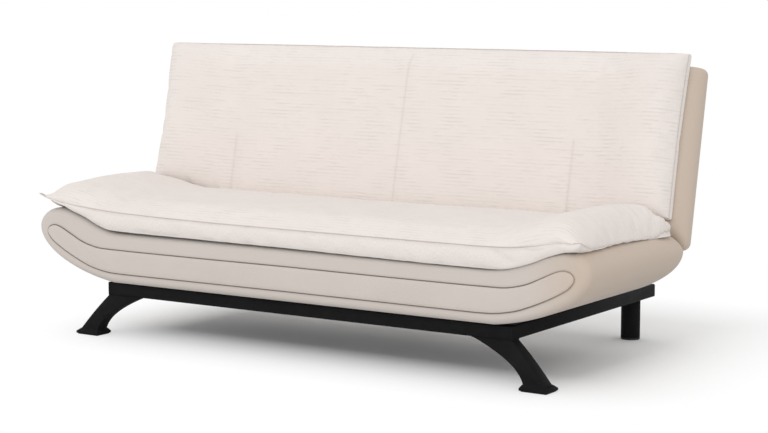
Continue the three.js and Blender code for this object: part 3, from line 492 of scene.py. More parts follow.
# %% [markdown]
# ## The two boats
# A boat is a foam block, cut to a long curved section and covered tightly. The section is a
# designed line, so its points are laid down exactly: a flat underside, a Bezier up to the tip, a
# quarter of an ellipse over it and a sweep down to the flat top. Copies of this outline stand
# behind each other like slices. The first and last few are drawn inwards along a quarter circle,
# which rounds the rims as foam does under a tight cover.

# %% The boat's section
under_steps, curve_steps, tip_steps, rise_steps, top_steps = 23, 34, 14, 20, 22
curve_out, curve_down, curve_up = 0.46, 0.895, 0.5  # how full the curve under a tip is


def boat_half(depth):
    """Points (x, z) from the middle below, round the right tip, to the middle on top."""
    run = half_length - flat_under
    points = [Vector((k * flat_under / under_steps, -depth)) for k in range(under_steps)]
    curve = [(flat_under, -depth), (flat_under + curve_out * run, -curve_down * depth),
             (half_length, -curve_up * depth), (half_length, 0)]
    points += [p.xy for p in interpolate_bezier(*[Vector((*p, 0)) for p in curve], curve_steps)]
    for k in range(1, tip_steps + 1):
        angle = k / tip_steps * math.pi / 2
        points.append(Vector((rise_end + (half_length - rise_end) * math.cos(angle),
                              shell_rise * math.sin(angle))))
    for k in range(1, rise_steps + 1):
        x = rise_end - k / rise_steps * (rise_end - rise_start)
        points.append(Vector((x, face_at(x))))
    points += [Vector((rise_start * (1 - k / top_steps), 0)) for k in range(1, top_steps + 1)]
    return points


def boat_section(depth):
    half = boat_half(depth)
    return half + [Vector((-p.x, p.y)) for p in reversed(half[1:-1])]


def drawn_in(outline, amount):
    """The same outline, moved inwards along its normals."""
    moved = []
    for k, p in enumerate(outline):
        along = outline[(k + 1) % len(outline)] - outline[k - 1]
        moved.append(p + amount * Vector((-along.y, along.x)).normalized())
    return moved


print(len(boat_section(seat_depth)), "points in the boat's section")

# %% [markdown]
# ### From slices to a cover
# Neighbouring slices are joined by four-sided faces and the two ends are closed. Where the seat
# and the back meet over the hinge, everything above the face leans back, as two mitred corners
# do, so that the two can fold past each other. The UV map, in metres, is laid on each side as if
# from straight in front of it.

# %% Making a piece from points
def piece_from(name, points, faces):
    mesh = bpy.data.meshes.new(name)
    mesh.from_pydata([tuple(p) for p in points], [], faces)
    piece = bpy.data.objects.new(name, mesh)
    bpy.context.scene.collection.objects.link(piece)
    return piece


def lay_cloth(piece):
    """A UV map in metres, laid on every face from the side that it looks to."""
    mesh = piece.data
    layer = mesh.uv_layers.get("cloth") or mesh.uv_layers.new(name="cloth")
    layer.active = True
    for face in mesh.polygons:
        n = [abs(v) for v in face.normal]
        across, up = ((1, 2), (0, 2), (0, 1))[n.index(max(n))]
        for corner in face.loop_indices:
            place = mesh.vertices[mesh.loops[corner].vertex_index].co
            layer.data[corner].uv = (place[across], place[up])


rim_steps, length_steps = 8, 22


def boat_cover(name, length, depth, rounds, mitres):
    """A boat from its first end to its second, with both rims rounded and both ends mitred."""
    section = boat_section(depth)
    slices = []
    for k in range(rim_steps + 1):
        angle = k / rim_steps * math.pi / 2
        run, sink = 1 - math.cos(angle), 1 - math.sin(angle)
        slices.append((rounds[0] * run, rounds[0] * sink))
        slices.append((length - rounds[1] * run, rounds[1] * sink))
    middle = length - rounds[0] - rounds[1]
    slices += [(rounds[0] + middle * k / length_steps, 0) for k in range(1, length_steps)]
    slices.sort()
    count = len(section)
    points = []
    for place, sink in slices:
        for p in drawn_in(section, sink):
            above = max(p.y, 0)
            y = mitres[0] * above + place * (1 - (mitres[0] + mitres[1]) * above / length)
            points.append((p.x, y, p.y))
    faces = []
    for r in range(len(slices) - 1):
        for k in range(count):
            a, b = r * count + k, r * count + (k + 1) % count
            faces.append((a, b, b + count, a + count))
    last = (len(slices) - 1) * count
    faces += [tuple(range(count)), tuple(last + k for k in range(count))]
    piece = piece_from(name, points, faces)
    settle(piece)
    print(name, size_of(piece), len(piece.data.polygons), "faces")
    return piece


seat_cover = boat_cover("seat_shell_cover", seat_length, seat_depth, rounds=(0.025, 0.025),
                        mitres=(0, 0.75))
back_cover = boat_cover("back_shell_cover", back_length, back_depth, rounds=(0.025, 0.019),
                        mitres=(0.9, 0))

# %% [markdown]
# ### Room for the frame and the hinges
# The foam is hollow underneath, where the steel frame and the slats lie, and slotted where the
# hinge plates stand. Boxes cut these out. Then the seat is moved to its place, and the back is
# also turned by its recline.

# %% Pockets and slots
seat_place = Matrix.Translation((0, seat_front, seat_face))
back_place = Matrix([*zip((1, 0, 0), up_back, out_of_back, back_foot), (0, 0, 0, 1)])
pocket_half, pocket_roof = 0.742, -0.0547
seat_pocket, back_pocket = (0.040, 0.572), (0.065, 0.500)  # where they start and end
slot_sides = (0.6975, 0.7275)
through = 0.005  # how far a cutting box reaches out of the foam


def hollow_out(piece, pocket, depth):
    cut_with(piece, box_from((-pocket_half, pocket[0], -depth - through),
                             (pocket_half, pocket[1], pocket_roof)))


def slot_through(piece, start, end, low, high):
    for side in (-1, 1):
        edges = sorted(side * v for v in slot_sides)
        cut_with(piece, box_from((edges[0], start, low), (edges[1], end, high)))


hollow_out(seat_cover, seat_pocket, seat_depth)
slot_through(seat_cover, 0.500, 0.617, low=-seat_depth - through, high=shell_rise + through)
hollow_out(back_cover, back_pocket, back_depth)
slot_through(back_cover, -through, 0.118, low=-0.095, high=shell_rise + through)
for cover, place, body, node in ((seat_cover, seat_place, "seat", "seat_upholstery"),
                                 (back_cover, back_place, "back", "back_upholstery")):
    lay_cloth(cover)
    cover.data.materials.append(boat_cloth)
    cover.data.transform(place)
    settle(cover)
    bpy.ops.object.shade_smooth_by_angle(angle=math.radians(35))
    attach(cover, body)
    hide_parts(node)
    print(cover.name, "in place", [round(v, 3) for v in cover.bound_box[0]])

# %% [markdown]
# ## The lozenge on the front of the seat
# A long lozenge is sewn into the front of the seat. Its lower and upper edges are two smooth
# lines that meet at both tips. Rows of points run from one to the other and stand out a little,
# like a shallow pillow.

# %% The lozenge's lines
drawn_face = 342  # these heights are drawn in millimetres, and the seat's face is at this one
lozenge_lower = [(0, 214), (300, 213.5), (600, 213), (661, 213.5), (700, 215.5), (737, 221),
                 (775, 230), (811, 243), (845, 257), (879, 273), (905, 287), (926, 300),
                 (938, 312), (945, 322), (946.5, 331)]
lozenge_upper = [(0, 288), (300, 287), (560, 287), (640, 287.5), (695, 288), (736, 289.5),
                 (780, 298), (811, 308), (850, 326), (884, 342), (905, 349), (920, 350.5),
                 (935, 346), (943, 339), (946.5, 331)]


def smooth_line(points, count):
    """Evenly spaced points on a smooth line through the given ones, in metres on the seat."""
    marks = np.array([(x / 1000, z / 1000 - drawn_face / 1000) for x, z in points])
    rows = []
    for k in range(len(marks) - 1):
        a, b, c, d = (marks[min(max(k + j, 0), len(marks) - 1)] for j in (-1, 0, 1, 2))
        for t in np.linspace(0, 1, 24, endpoint=False):
            rows.append(0.5 * (2 * b + (c - a) * t + (2 * a - 5 * b + 4 * c - d) * t * t
                               + (3 * b - a - 3 * c + d) * t ** 3))
    rows = np.array(rows + [marks[-1]])
    gone = np.concatenate([[0], np.cumsum(np.linalg.norm(np.diff(rows, axis=0), axis=1))])
    share = np.linspace(0, gone[-1], count)
    return np.stack([np.interp(share, gone, rows[:, k]) for k in (0, 1)], 1)


lower_line, upper_line = smooth_line(lozenge_lower, 110), smooth_line(lozenge_upper, 110)
print("lozenge", round(2 * lower_line[-1][0], 3), "m long")

# %% The pillowed panel
panel_out, pillow_out, belly_out = 0.0018, 0.0030, 0.0012  # at its edge, over it, in the middle
pillow_edge, panel_behind = 0.016, 0.0003


def lozenge_panel():
    across, lines = 14, len(lower_line)
    points, faces = [], []
    sides = list(range(-(lines - 1), lines))
    for skin in (1, 0):
        for s in sides:
            sign = 1 if s >= 0 else -1
            low, high = lower_line[abs(s)], upper_line[abs(s)]
            tall = np.linalg.norm(high - low)
            for t in np.linspace(0, 1, across + 1):
                edge = min(t, 1 - t) * tall
                full = math.sqrt(1 - (1 - min(edge / pillow_edge, 1)) ** 2) if tall > 1e-6 else 0
                swell = panel_out + pillow_out * full + belly_out * math.sin(math.pi * t)
                x, z = low + (high - low) * t
                points.append((sign * x, -swell if skin else -panel_behind, z))
    row = across + 1
    total = len(sides) * row
    for s in range(len(sides) - 1):
        for t in range(across):
            a = s * row + t
            faces.append((a, a + 1, a + row + 1, a + row))
            a += total
            faces.append((a, a + row, a + row + 1, a + 1))
        for t, turn in ((0, False), (across, True)):
            a, b = s * row + t, (s + 1) * row + t
            wall = (a, b, b + total, a + total)
            faces.append(wall[::-1] if turn else wall)
    return piece_from("seat_front_panel", points, faces)


front_panel = lozenge_panel()
take(front_panel)
bpy.ops.object.mode_set(mode="EDIT")
bpy.ops.mesh.select_all(action="SELECT")
bpy.ops.mesh.remove_doubles(threshold=0.0002)
settle(front_panel)
lay_cloth(front_panel)
front_panel.data.materials.append(panel_cloth)
front_panel.data.transform(seat_place)
bpy.ops.object.shade_smooth_by_angle(angle=math.radians(50))
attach(front_panel, "seat")
print(front_panel.name, size_of(front_panel))

# %% [markdown]
# ### Piping
# Piping is a cord wrapped in a strip of cloth. A circle's points are laid along its line, the
# circle becomes a curve with a round section, and turned back into a mesh that is a closed ring.
# The same helper makes the welts and the weld beads.

# %% A piped line
def piped(name, line, radius, finish, sides=5, ripple=0.0):
    piece = added(bpy.ops.mesh.primitive_circle_add, vertices=len(line), radius=1)
    piece.name = piece.data.name = name
    for vertex, place in zip(piece.data.vertices, line):
        vertex.co = place
    bpy.ops.object.convert(target="CURVE")
    for k, point in enumerate(piece.data.splines[0].points):
        point.radius = 1 - ripple * (k % 2)
    piece.data.bevel_depth = radius
    piece.data.bevel_resolution = sides - 2
    piece.data.use_fill_caps = True
    bpy.ops.object.convert(target="MESH")
    settle(piece)
    bpy.ops.object.shade_smooth()
    lay_cloth(piece)
    piece.data.materials.clear()
    piece.data.materials.append(finish)
    print(name, size_of(piece), len(piece.data.polygons), "faces")
    return piece


right_half = [*lower_line, *upper_line[-2::-1]]
ring = right_half + [(-x, z) for x, z in reversed(right_half[1:-1])]
piping_line = [seat_place @ Vector((x, -0.0020, z)) for x, z in ring]
panel_piping = piped("seat_panel_piping", piping_line, radius=0.0017, finish=welt_cloth)
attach(panel_piping, "seat")

# %% [markdown]
# ## The panel on the rear of the back and the dust sheet under the seat
# A thin board covered in the boats' cloth closes the rear of the back, sewn in with a welt. It
# starts as a fine grid, a slow wave and a slight crown make it look covered by hand, and Solidify
# gives it its thickness. The opening under the seat has a thin black non-woven sheet, bound round
# its edge. It hangs through a little and is drawn up at its corners.

# %% A thin panel over an opening
def mixed(a, b, share):
    return a + (b - a) * share


def thin_panel(name, pocket, low, thick, crown, finish, play=0.0006):
    """A sheet that closes a pocket with a little play, with waves, and folds at its corners."""
    start, end = pocket
    panel = added(bpy.ops.mesh.primitive_grid_add, x_subdivisions=96, y_subdivisions=32, size=1,
                  location=(0, (start + end) / 2, low + thick / 2))
    panel.name = panel.data.name = name
    panel.scale = (2 * pocket_half - play, end - start - play, 1)
    bpy.ops.object.transform_apply()
    for vertex in panel.data.vertices:
        x, y = vertex.co.x, vertex.co.y
        u, v = abs(x) / pocket_half, (y - start) / (end - start)
        full = (1 - u ** 6) * min(12 * v * (1 - v), 1)
        drawn = math.sin(5.1 * x + 9.0 * y) + 0.5 * math.sin(17.0 * x - 6.0 * y)
        corner = math.exp(-((1 - u) * 8) ** 2) * math.sin(60 * (v + 0.3 * u))
        corner *= 1 - (2 * v - 1) ** 4
        vertex.co.z -= crown * full * (1 + 0.25 * drawn) + 0.0004 * corner
    apply_modifier(panel, "SOLIDIFY", thickness=thick, offset=0.0)
    settle(panel)
    panel.data.materials.append(finish)
    print(name, size_of(panel))
    return panel


def bound(name, corners, z, radius, finish, place, body):
    """A welt or a binding laid round an opening at a height."""
    line = []
    for (ax, ay), (bx, by) in zip(corners, corners[1:] + corners[:1]):
        count = max(round(math.hypot(bx - ax, by - ay) / 0.010), 2)
        line += [place @ Vector((mixed(ax, bx, k / count), mixed(ay, by, k / count), z))
                 for k in range(count)]
    welt = piped(name, line, radius, finish)
    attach(welt, body)
    return welt


def both_sides(points):
    """Points on one side, and then their mirror images, which lead back."""
    return points + [(-x, y) for x, y in reversed(points)]


# %% Rear panel of the back
set_in = 0.0010  # how far both sheets lie inside their openings
rear_low = -back_depth + set_in
rear_panel = thin_panel("back_rear_panel", back_pocket, rear_low, thick=0.0024, crown=0.0016,
                        finish=boat_cloth)
lay_cloth(rear_panel)
rear_panel.data.transform(back_place)
bpy.ops.object.shade_smooth_by_angle(angle=math.radians(40))
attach(rear_panel, "back")
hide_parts("back_rear_cover")
rear_corners = both_sides([(-pocket_half, 0.077), (-pocket_half, 0.488),
                           (-pocket_half + 0.004, 0.496), (-pocket_half + 0.012, 0.500)])
rear_corners += both_sides([(pocket_half - 0.004, 0.069), (pocket_half - 0.012, 0.065)])
bound("back_rear_welt", rear_corners, z=rear_low + 0.0002, radius=0.0023, finish=welt_cloth,
      place=back_place, body="back")

# %% Dust sheet under the seat
dust_low = -seat_depth + set_in
dust_sheet = thin_panel("seat_dust_sheet", seat_pocket, dust_low + 0.002, thick=0.0008,
                        crown=0.0034, finish=finishes["lining"])
slot_through(dust_sheet, 0.499, 0.617, low=-seat_depth - 0.010, high=-seat_depth + 0.010)
dust_sheet.data.transform(seat_place)
bpy.ops.object.shade_smooth_by_angle(angle=math.radians(40))
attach(dust_sheet, "seat")
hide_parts("seat_dust_cover")
dust_outer, dust_inner = pocket_half - 0.003, slot_sides[0] - 0.004
dust_corners = both_sides([(-dust_outer, 0.043), (-dust_outer, 0.493), (-dust_inner, 0.493),
                           (-dust_inner, 0.569)])
binding = bound("seat_dust_binding", dust_corners, z=dust_low + 0.0014, radius=0.0018,
                finish=finishes["lining"], place=seat_place, body="seat")

# %% [markdown]
# ## Welds on the base
# The rails and the roots of the cast legs are welded. A weld bead was laid down drop by drop, so
# it is a piped line round the joint whose thickness goes up and down.

# %% Weld beads
drop_length, sunk = 0.0022, 0.0004  # a drop's length, and how deep a bead has melted in


def bead(name, corners):
    """A closed bead through the given corners."""
    line = []
    for a, b in zip(corners, corners[1:] + corners[:1]):
        count = max(round((b - a).length / drop_length), 2)
        line += [a.lerp(b, k / count) for k in range(count)]
    weld = piped(name, line, 0.0019, black_steel, sides=4, ripple=0.28)
    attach(weld, "base")


rail_low, rail_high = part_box("base_welded_rail")
cross_low, cross_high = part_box("base_rear_rail")
brace_low, brace_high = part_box("base_centre_brace")
tube = rail_high.z - rail_low.z
low, high = rail_low.z + sunk, rail_high.z - sunk


def round_tube(first, second):
    """Corners of a joint across a tube, which runs from one place in plan to another."""
    corners = (first, low), (first, high), (second, high), (second, low)
    return [Vector((*place, z)) for place, z in corners]


for side, sign in (("left", -1), ("right", 1)):
    outer, inner = sign * (rail_high.x - sunk), sign * (rail_high.x - tube + sunk)
    front, behind = rail_low.y + sunk, rail_low.y + tube - sunk
    bead(f"mitre_weld_{side}", round_tube((outer, front), (inner, behind)))
    end = sign * cross_high.x
    bead(f"cross_weld_{side}", round_tube((end, cross_low.y), (end, cross_high.y)))
    near, far = sign * (rail_high.x - 0.128), sign * (rail_high.x - 0.001)
    bead(f"leg_weld_{side}", [Vector((x, y, rail_low.z)) for x, y in (
        (near, front), (far, front), (far, behind), (near, behind))])
for name, y in (("brace_weld_front", brace_low.y), ("brace_weld_rear", brace_high.y)):
    bead(name, round_tube((brace_low.x, y), (brace_high.x, y)))
print("welds laid")

# %% [markdown]
# ## The toppers
# A topper is two sheets of cloth sewn together round their edge and stuffed. It starts as two
# grids of points that share their border: the upper one is crowned, and the lower one comes down
# from the seam in a wall and follows the face of the boat.

# %% The form of a topper
topper_half = half_length - 0.026
mesh_step = 0.012
tucked, bulge = 0.0025, 0.004  # how far the seam is drawn in, and its wall stands out


def fullness(distance, edge):
    """A quarter of a circle: 0 at the seam, 1 further in than the edge."""
    return math.sqrt(1 - (1 - clamped(distance / edge)) ** 2)


def blunt(distance, wall):
    """How far the lower skin has come down at a distance from the seam, from 0 to 1."""
    return 1 - (1 - clamped(distance / wall)) ** 4


def spread(length, edge, step, turn):
    """Places from 0 to length, close together near both ends."""
    ends = [edge * (1 - math.cos(k / turn * math.pi / 2)) for k in range(turn + 1)]
    count = round((length - 2 * edge) / step)
    middle = [edge + (length - 2 * edge) * k / count for k in range(1, count)]
    return ends + middle + [length - e for e in reversed(ends)]


def topper_grid(start, end, top_at, seam_at, hem_at, detail, edge, walls, marks=(), turn=12):
    """The columns' places, the points of both skins by column and row, and how far each lower
    point has come down. The walls are those in front, at the sides and behind."""
    columns = [x - topper_half for x in spread(2 * topper_half, edge, mesh_step, turn)]
    for mark in marks:
        columns[min(range(len(columns)), key=lambda k: abs(columns[k] - mark))] = mark
    length = end(0) - start(0)
    rows = [y / length for y in spread(length, edge, mesh_step, turn)]

    def skins_at(x, t):
        low, high = start(x), end(x)
        y = low + t * (high - low)
        side, front, rear = topper_half - abs(x), y - low, high - y
        near_x = max(1 - side / walls[1], 0)
        near_y = max(1 - rear / walls[2], 0) - max(1 - front / walls[0], 0)
        outwards = Vector((math.copysign(near_x, x), near_y, 0))
        soft = edge * detail.softness(x, y)
        full = fullness(side, soft) * fullness(min(front, rear), soft)
        down = blunt(side, walls[1]) * min(blunt(front, walls[0]), blunt(rear, walls[2]))
        tuck = -tucked if min(side, front, rear) < 1e-6 else 0
        seam = seam_at(x, y)
        over = (Vector((x, y, mixed(seam, top_at(x, y, t), full)))
                + outwards * tuck + detail.move(x, y, t, full, True))
        under = (Vector((x, y, mixed(seam, hem_at(x, y), down)))
                 + outwards * (tuck + bulge * math.sin(math.pi * down))
                 + detail.move(x, y, t, down, False))
        return over, under, down

    grid = [[skins_at(x, t) for t in rows] for x in columns]
    return columns, *[[[place[k] for place in column] for column in grid] for k in range(3)]


print("topper half length", round(topper_half, 3))

# %% Sewing two skins together
def run_along(points, axis):
    """How far each point of a row lies along the cloth, counted from the row's middle point."""
    gone = np.cumsum([0] + [(b - a).length for a, b in zip(points, points[1:])])
    return gone - gone[len(points) // 2] + points[len(points) // 2][axis]


resting = 0.97  # a lower point that has come down so far lies on the boat
uv_apart = 2  # the lower skin's cloth is laid out so far from the upper one's
# how dark the painted shade is at the seam and along the quilted lines
seam_shade, quilt_shade, first_stitch = 0.25, 0.05, 4


def sew(name, upper, lower, downs, lining):
    """One closed piece from both skins, its seam's points in order, and the points to be held."""
    across, along = len(upper), len(upper[0])
    points = [p for column in upper for p in column]
    index, held, under = {}, [], [0.0] * len(points)
    for i in range(across):
        for j in range(along):
            if i in (0, across - 1) or j in (0, along - 1):
                index[i, j] = i * along + j
                held.append(index[i, j])
            else:
                index[i, j] = len(points)
                points.append(lower[i][j])
                # where the painted shade of the dark lining goes, only on the seat's topper
                under.append(downs[i][j] if lining else 0.0)
                if downs[i][j] > resting:
                    held.append(index[i, j])
    reach_x = [run_along([column[j] for column in upper], 0) for j in range(along)]
    reach_y = [run_along(column, 1) for column in upper]
    faces, flat = [], []
    for i in range(across - 1):
        for j in range(along - 1):
            corners = [(i, j), (i + 1, j), (i + 1, j + 1), (i, j + 1)]
            faces.append([a * along + b for a, b in corners])
            flat += [(reach_x[b][a], reach_y[a][b]) for a, b in corners]
            faces.append([index[c] for c in reversed(corners)])
            flat += [(reach_x[b][a], reach_y[a][b] + uv_apart) for a, b in reversed(corners)]
    piece = piece_from(name, points, faces)
    layer = piece.data.uv_layers.new(name="cloth")
    layer.data.foreach_set("uv", np.array(flat, np.float32).ravel())
    below = piece.data.attributes.new("under", "FLOAT", "POINT")
    below.data.foreach_set("value", under)
    ring = [(i, 0) for i in range(across)] + [(across - 1, j) for j in range(1, along)]
    ring += [(i, along - 1) for i in range(across - 2, -1, -1)]
    ring += [(0, j) for j in range(along - 2, 0, -1)]
    return piece, [i * along + j for i, j in ring], held


def mark_seams(piece, ring, lines):
    """What the cloth's finish reads: painted shade at the seam and along the quilted lines, and stitches on the
    quilted lines.
    """
    mesh = piece.data
    seam = mesh.attributes.new("seam", "FLOAT", "POINT")
    seam.data.foreach_set("value", [0.0] * len(mesh.vertices))
    stitch = mesh.attributes.new("stitch", "FLOAT", "POINT")
    # painted shade on the seam's points, and a lighter one on the quilted lines
    for k in ring:
        seam.data[k].value = seam_shade
    for k in lines:
        seam.data[k].value = quilt_shade
        stitch.data[k].value = 1.0


print("ready to sew")

# %% [markdown]
# ### Blowing a topper up
# Blender's Cloth has a pressure that pushes a closed mesh outwards. The seam and what lies on the
# boat are held, so the topper swells as stuffing does. Gravity is off, because the boat carries
# its weight. A shrink below zero makes the cloth a little too large, which gives the puckers.
# After twenty frames the result is applied, and each way moved is shortened so that it stays
# under the cap.

# %% Pressure and cap
def blow_up(piece, held, cap, pressure=4.0, spare=-0.012, frames=20):
    group = piece.vertex_groups.new(name="held")
    group.add(held, 1.0, "REPLACE")
    start = np.array([v.co for v in piece.data.vertices])
    cloth = add_modifier(piece, "CLOTH")
    for name, value in dict(quality=5, mass=0.35, tension_stiffness=12, compression_stiffness=12,
                            shear_stiffness=5, bending_stiffness=0.6, use_pressure=True,
                            uniform_pressure_force=pressure, shrink_min=spare,
                            vertex_group_mass=group.name).items():
        setattr(cloth.settings, name, value)
    cloth.settings.effector_weights.gravity = 0
    cloth.collision_settings.use_collision = False
    cloth.point_cache.frame_start, cloth.point_cache.frame_end = 1, frames
    for frame_number in range(1, frames + 1):
        bpy.context.scene.frame_set(frame_number)
    take(piece)
    bpy.ops.object.modifier_apply(modifier=cloth.name)
    bpy.context.scene.frame_set(1)
    moved = np.array([v.co for v in piece.data.vertices]) - start
    length = np.linalg.norm(moved, axis=1, keepdims=True)
    kept = moved * (cap * np.tanh(length / cap) / np.maximum(length, 1e-9))
    piece.data.vertices.foreach_set("co", (start + kept).astype(np.float32).ravel())
    piece.vertex_groups.clear()
    print(piece.name, "moved by at most", round(float(length.max()), 4), "m, kept",
          round(float(np.linalg.norm(kept, axis=1).max()), 4))


def make_topper(name, place, cap, lining=False, channels=(), **form):
    """A topper that still lies flat, and the line of its seam in its place on the sofa."""
    columns, upper, lower, downs = topper_grid(marks=list(channels), **form)
    topper, ring, held = sew(name, upper, lower, downs, lining)
    along = len(upper[0])
    lines = [i * along + j for i, x in enumerate(columns) if x in channels
             for j in range(first_stitch, round(along * channels[x]))]
    mark_seams(topper, ring, lines)
    blow_up(topper, held, cap)
    seam_line = [place @ topper.data.vertices[k].co for k in ring]
    apply_modifier(topper, "SUBSURF", levels=1, render_levels=1)
    bpy.ops.object.shade_smooth()
    topper.data.materials.append(topper_cloth)
    return topper, seam_line


# %% [markdown]
# ### The seat's topper
# It is 97 mm thick in the middle. Its front hangs a little over the boat, and the corners there
# are drawn out. Its rear corners are bunched up beside the ends of the back, and the right one
# stands up in a lip.

# %% Lines of the seat's topper
seat_seam_line = [(-966, 105), (-925, 93), (-866, 82), (-757, 72), (-601, 64), (-300, 59), (0, 58),
                  (500, 58), (725, 60), (818, 69), (860, 76), (909, 84), (966, 86)]
seat_hem_line = [(-966, 103), (-925, 88), (-875, 71), (-846, 60), (-783, 38), (-721, 13),
                 (-651, 3), (-400, 1), (0, -1), (218, -4), (555, -7), (708, -6), (762, 1),
                 (815, 17), (846, 30), (873, 42), (919, 57), (966, 60)]


def line_height(points):
    """A function that gives the height of a smooth line at a place along the sofa."""
    marks = smooth_line([(x, z + drawn_face) for x, z in points], 400)
    return lambda x: float(np.interp(x, marks[:, 0], marks[:, 1]))


seam_in_front, hem_in_front = line_height(seat_seam_line), line_height(seat_hem_line)
seat_thick, thinner_at_tips, seat_crown = 0.097, 0.014, 0.006
overhang, seat_edge = 0.013, 0.076  # how far it hangs over in front, and how wide its edge is
behind_gap, tips_retreat, corners_reach = 0.053, 0.064, 0.047
front_fall, rear_fall, dimple = 0.008, 0.046, 0.0016
seam_beside, seam_fall, seam_behind = 0.061, 0.0125, 0.050
hem_beside, hem_fall, rim_round = 0.055, 0.009, 0.025
seat_swell = 0.012


def seat_end(x):
    """The rear edge retreats at the tips, but its two corners are drawn out beside the back."""
    corner = share_of(abs(x), 0.84, 0.955)
    return seat_length - behind_gap - tips_retreat * rise_at(x) + corners_reach * corner


def seat_top(x, y, t):
    """Its upper side: crowned, thinner at the tips, and lower in front and at the rear."""
    top = topper_gap + face_at(x) + seat_thick - thinner_at_tips * rise_at(x)
    top += seat_crown * math.sin(math.pi * t)
    dimples = dimple * math.sin(7.1 * x + 1.3) * math.sin(11.0 * y + 2.2 * x)
    front = front_fall * max(1 - (y + overhang) / seat_edge, 0) ** 2
    top -= front + rear_fall * share_of(y, 0.46, 0.535)
    return top + dimples - seat_swell


def seat_seam(x, y):
    """In front the seam follows its line. Along the sides it lies low, close to the boat."""
    beside = seam_beside - seam_fall * share_of(y, 0.2, 0.53)
    aside = share_of(abs(x), 0.82, 0.955) * share_of(y, -0.012, 0.075)
    behind = share_of(y, 0.40, 0.55) * (1 - share_of(abs(x), 0.82, 0.955))
    return mixed(mixed(seam_in_front(x), beside, aside), seam_behind + face_at(x), behind)


def seat_hem(x, y):
    """What the lower skin comes down to: the boat, the front hem, or the air past the tips."""
    boat = topper_gap + face_at(x)
    beside = hem_beside - hem_fall * share_of(y, 0.40, 0.53)
    height = mixed(boat, beside, share_of(abs(x), 0.925, 0.966))
    onto_boat = share_of(y, 0.0, 0.03 + 0.05 * share_of(-x, 0.8, 0.95))
    height = mixed(hem_in_front(x), height, onto_boat)
    into = min(max(rim_round - y, 0), rim_round)
    rim = boat - (rim_round - math.sqrt(rim_round ** 2 - into ** 2))
    return max(height, rim) if y > 0 else height


# %% Small things that make the seat's topper soft
class SeatDetail:
    """The rear corners gather in folds, the right one in a lip. The front ones are drawn out."""

    waist = 0.028  # how far the sides are drawn in
    ear, ear_reach = (0.005, -0.003, 0.002), 0.020  # how far a front corner is drawn out
    folds_at, fold_size, fold_reach = 0.560, 0.0046, 0.075
    lip_at, lip_width, lip_height, lip_out = 0.9605, 0.0065, 0.032, 0.010
    pucker_size, pucker_pitch = 0.0011, 0.021

    def softness(self, x, y):
        """The rear corners are blunt: their edge is rounded off over a shorter way."""
        return 1 - 0.62 * share_of(abs(x), 0.82, 0.93) * share_of(y, 0.36, 0.50)

    def gather(self, x, y, full):
        """Folds that run together at the rear corners, and the lip at the right one."""
        out, side = abs(x) / topper_half, math.copysign(1, x)
        away, lift = self.folds_at - y, 0.050 * full
        ray = math.atan2(lift, away + 0.004)
        crease = 1 - 2 * abs(math.sin(6.5 * ray + 0.6))
        near = math.exp(-(math.hypot(away, lift) / self.fold_reach) ** 2)
        fold = 1.5 * crease * near + 0.6 * math.sin(15 * full + 46 * y + 30 * out)
        fold -= 1.1 * math.exp(-((full - 0.46 - 0.5 * (y - 0.45)) / 0.10) ** 2)
        bunch = share_of(abs(x), 0.84, 0.94) * share_of(y, 0.38, 0.49)
        fold *= self.fold_size * bunch * min(4 * full, 1)
        lip = math.exp(-((x - self.lip_at) / self.lip_width) ** 2) * share_of(y, 0.455, 0.505)
        wrinkle = 1 + 0.22 * math.sin(290 * y + 60 * x - 2.4)
        rise = self.lip_height * lip * wrinkle * (1 - share_of(y, 0.538, 0.548))
        return fold * Vector((side * (1.2 - full), 0.3, full)), rise

    def move(self, x, y, t, full, upper):
        out, side = abs(x) / topper_half, math.copysign(1, x)
        moved = Vector((-side * self.waist * t * (1 - t) * out ** 2, 0, 0))
        ear = math.exp(-((topper_half - abs(x)) ** 2 + (y + overhang) ** 2) / self.ear_reach ** 2)
        moved += Vector((side * self.ear[0] * ear, self.ear[1] * ear, self.ear[2] * ear))
        moved.x += self.lip_out * share_of(x, 0.942, 0.962) * share_of(y, 0.44, 0.51)
        if upper:
            fold, rise = self.gather(x, y, full)
            moved += fold
            moved.z += rise
        else:
            pucker = math.sin(2 * math.pi * (x + 0.4 * y) / self.pucker_pitch)
            pucker *= math.sin(9.7 * x) ** 2
            moved.y -= self.pucker_size * pucker * math.sin(math.pi * full) * (y < 0.02)
        return moved


# %% Seat topper
# lining=True paints a dark band of shade along the topper's lower edge
seat_topper, seat_ring = make_topper(
    "seat_topper_pad", seat_place, cap=0.015, lining=True, start=lambda x: -overhang, end=seat_end,
    top_at=seat_top, seam_at=seat_seam, hem_at=seat_hem, detail=SeatDetail(), edge=seat_edge,
    walls=(0.014, 0.035, 0.014))
seat_topper.data.transform(seat_place)
settle(seat_topper)
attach(seat_topper, "seat")
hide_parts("seat_topper")
print(seat_topper.name, size_of(seat_topper), len(seat_topper.data.polygons), "faces")

welt_radius = 0.0013
seat_welt = piped("seat_topper_welt", seat_ring, welt_radius, shaded_topper_welt)
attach(seat_welt, "seat")

# %% [markdown]
# ### The back's topper
# It is thinner. Three shallow channels with a row of stitches run up it from its foot, the middle
# one nearly to the top and the outer ones about half way. Two notches at its foot let the hinge
# arms through.

# %% Back topper
channels = {-0.650: 0.46, 0.0: 0.92, 0.622: 0.52}  # place along the sofa: how far up it is sewn
channel_half, channel_depth = 0.040, 0.003
back_thick, back_crown, back_seam_up = 0.066, 0.003, 0.032
back_overhang, askew = 0.040, 0.009
back_swell = 0.010


def back_start(x):
    return 0.008 + 0.075 * rise_at(x)


def back_end(x):
    return back_length + back_overhang - 0.013 * rise_at(x)


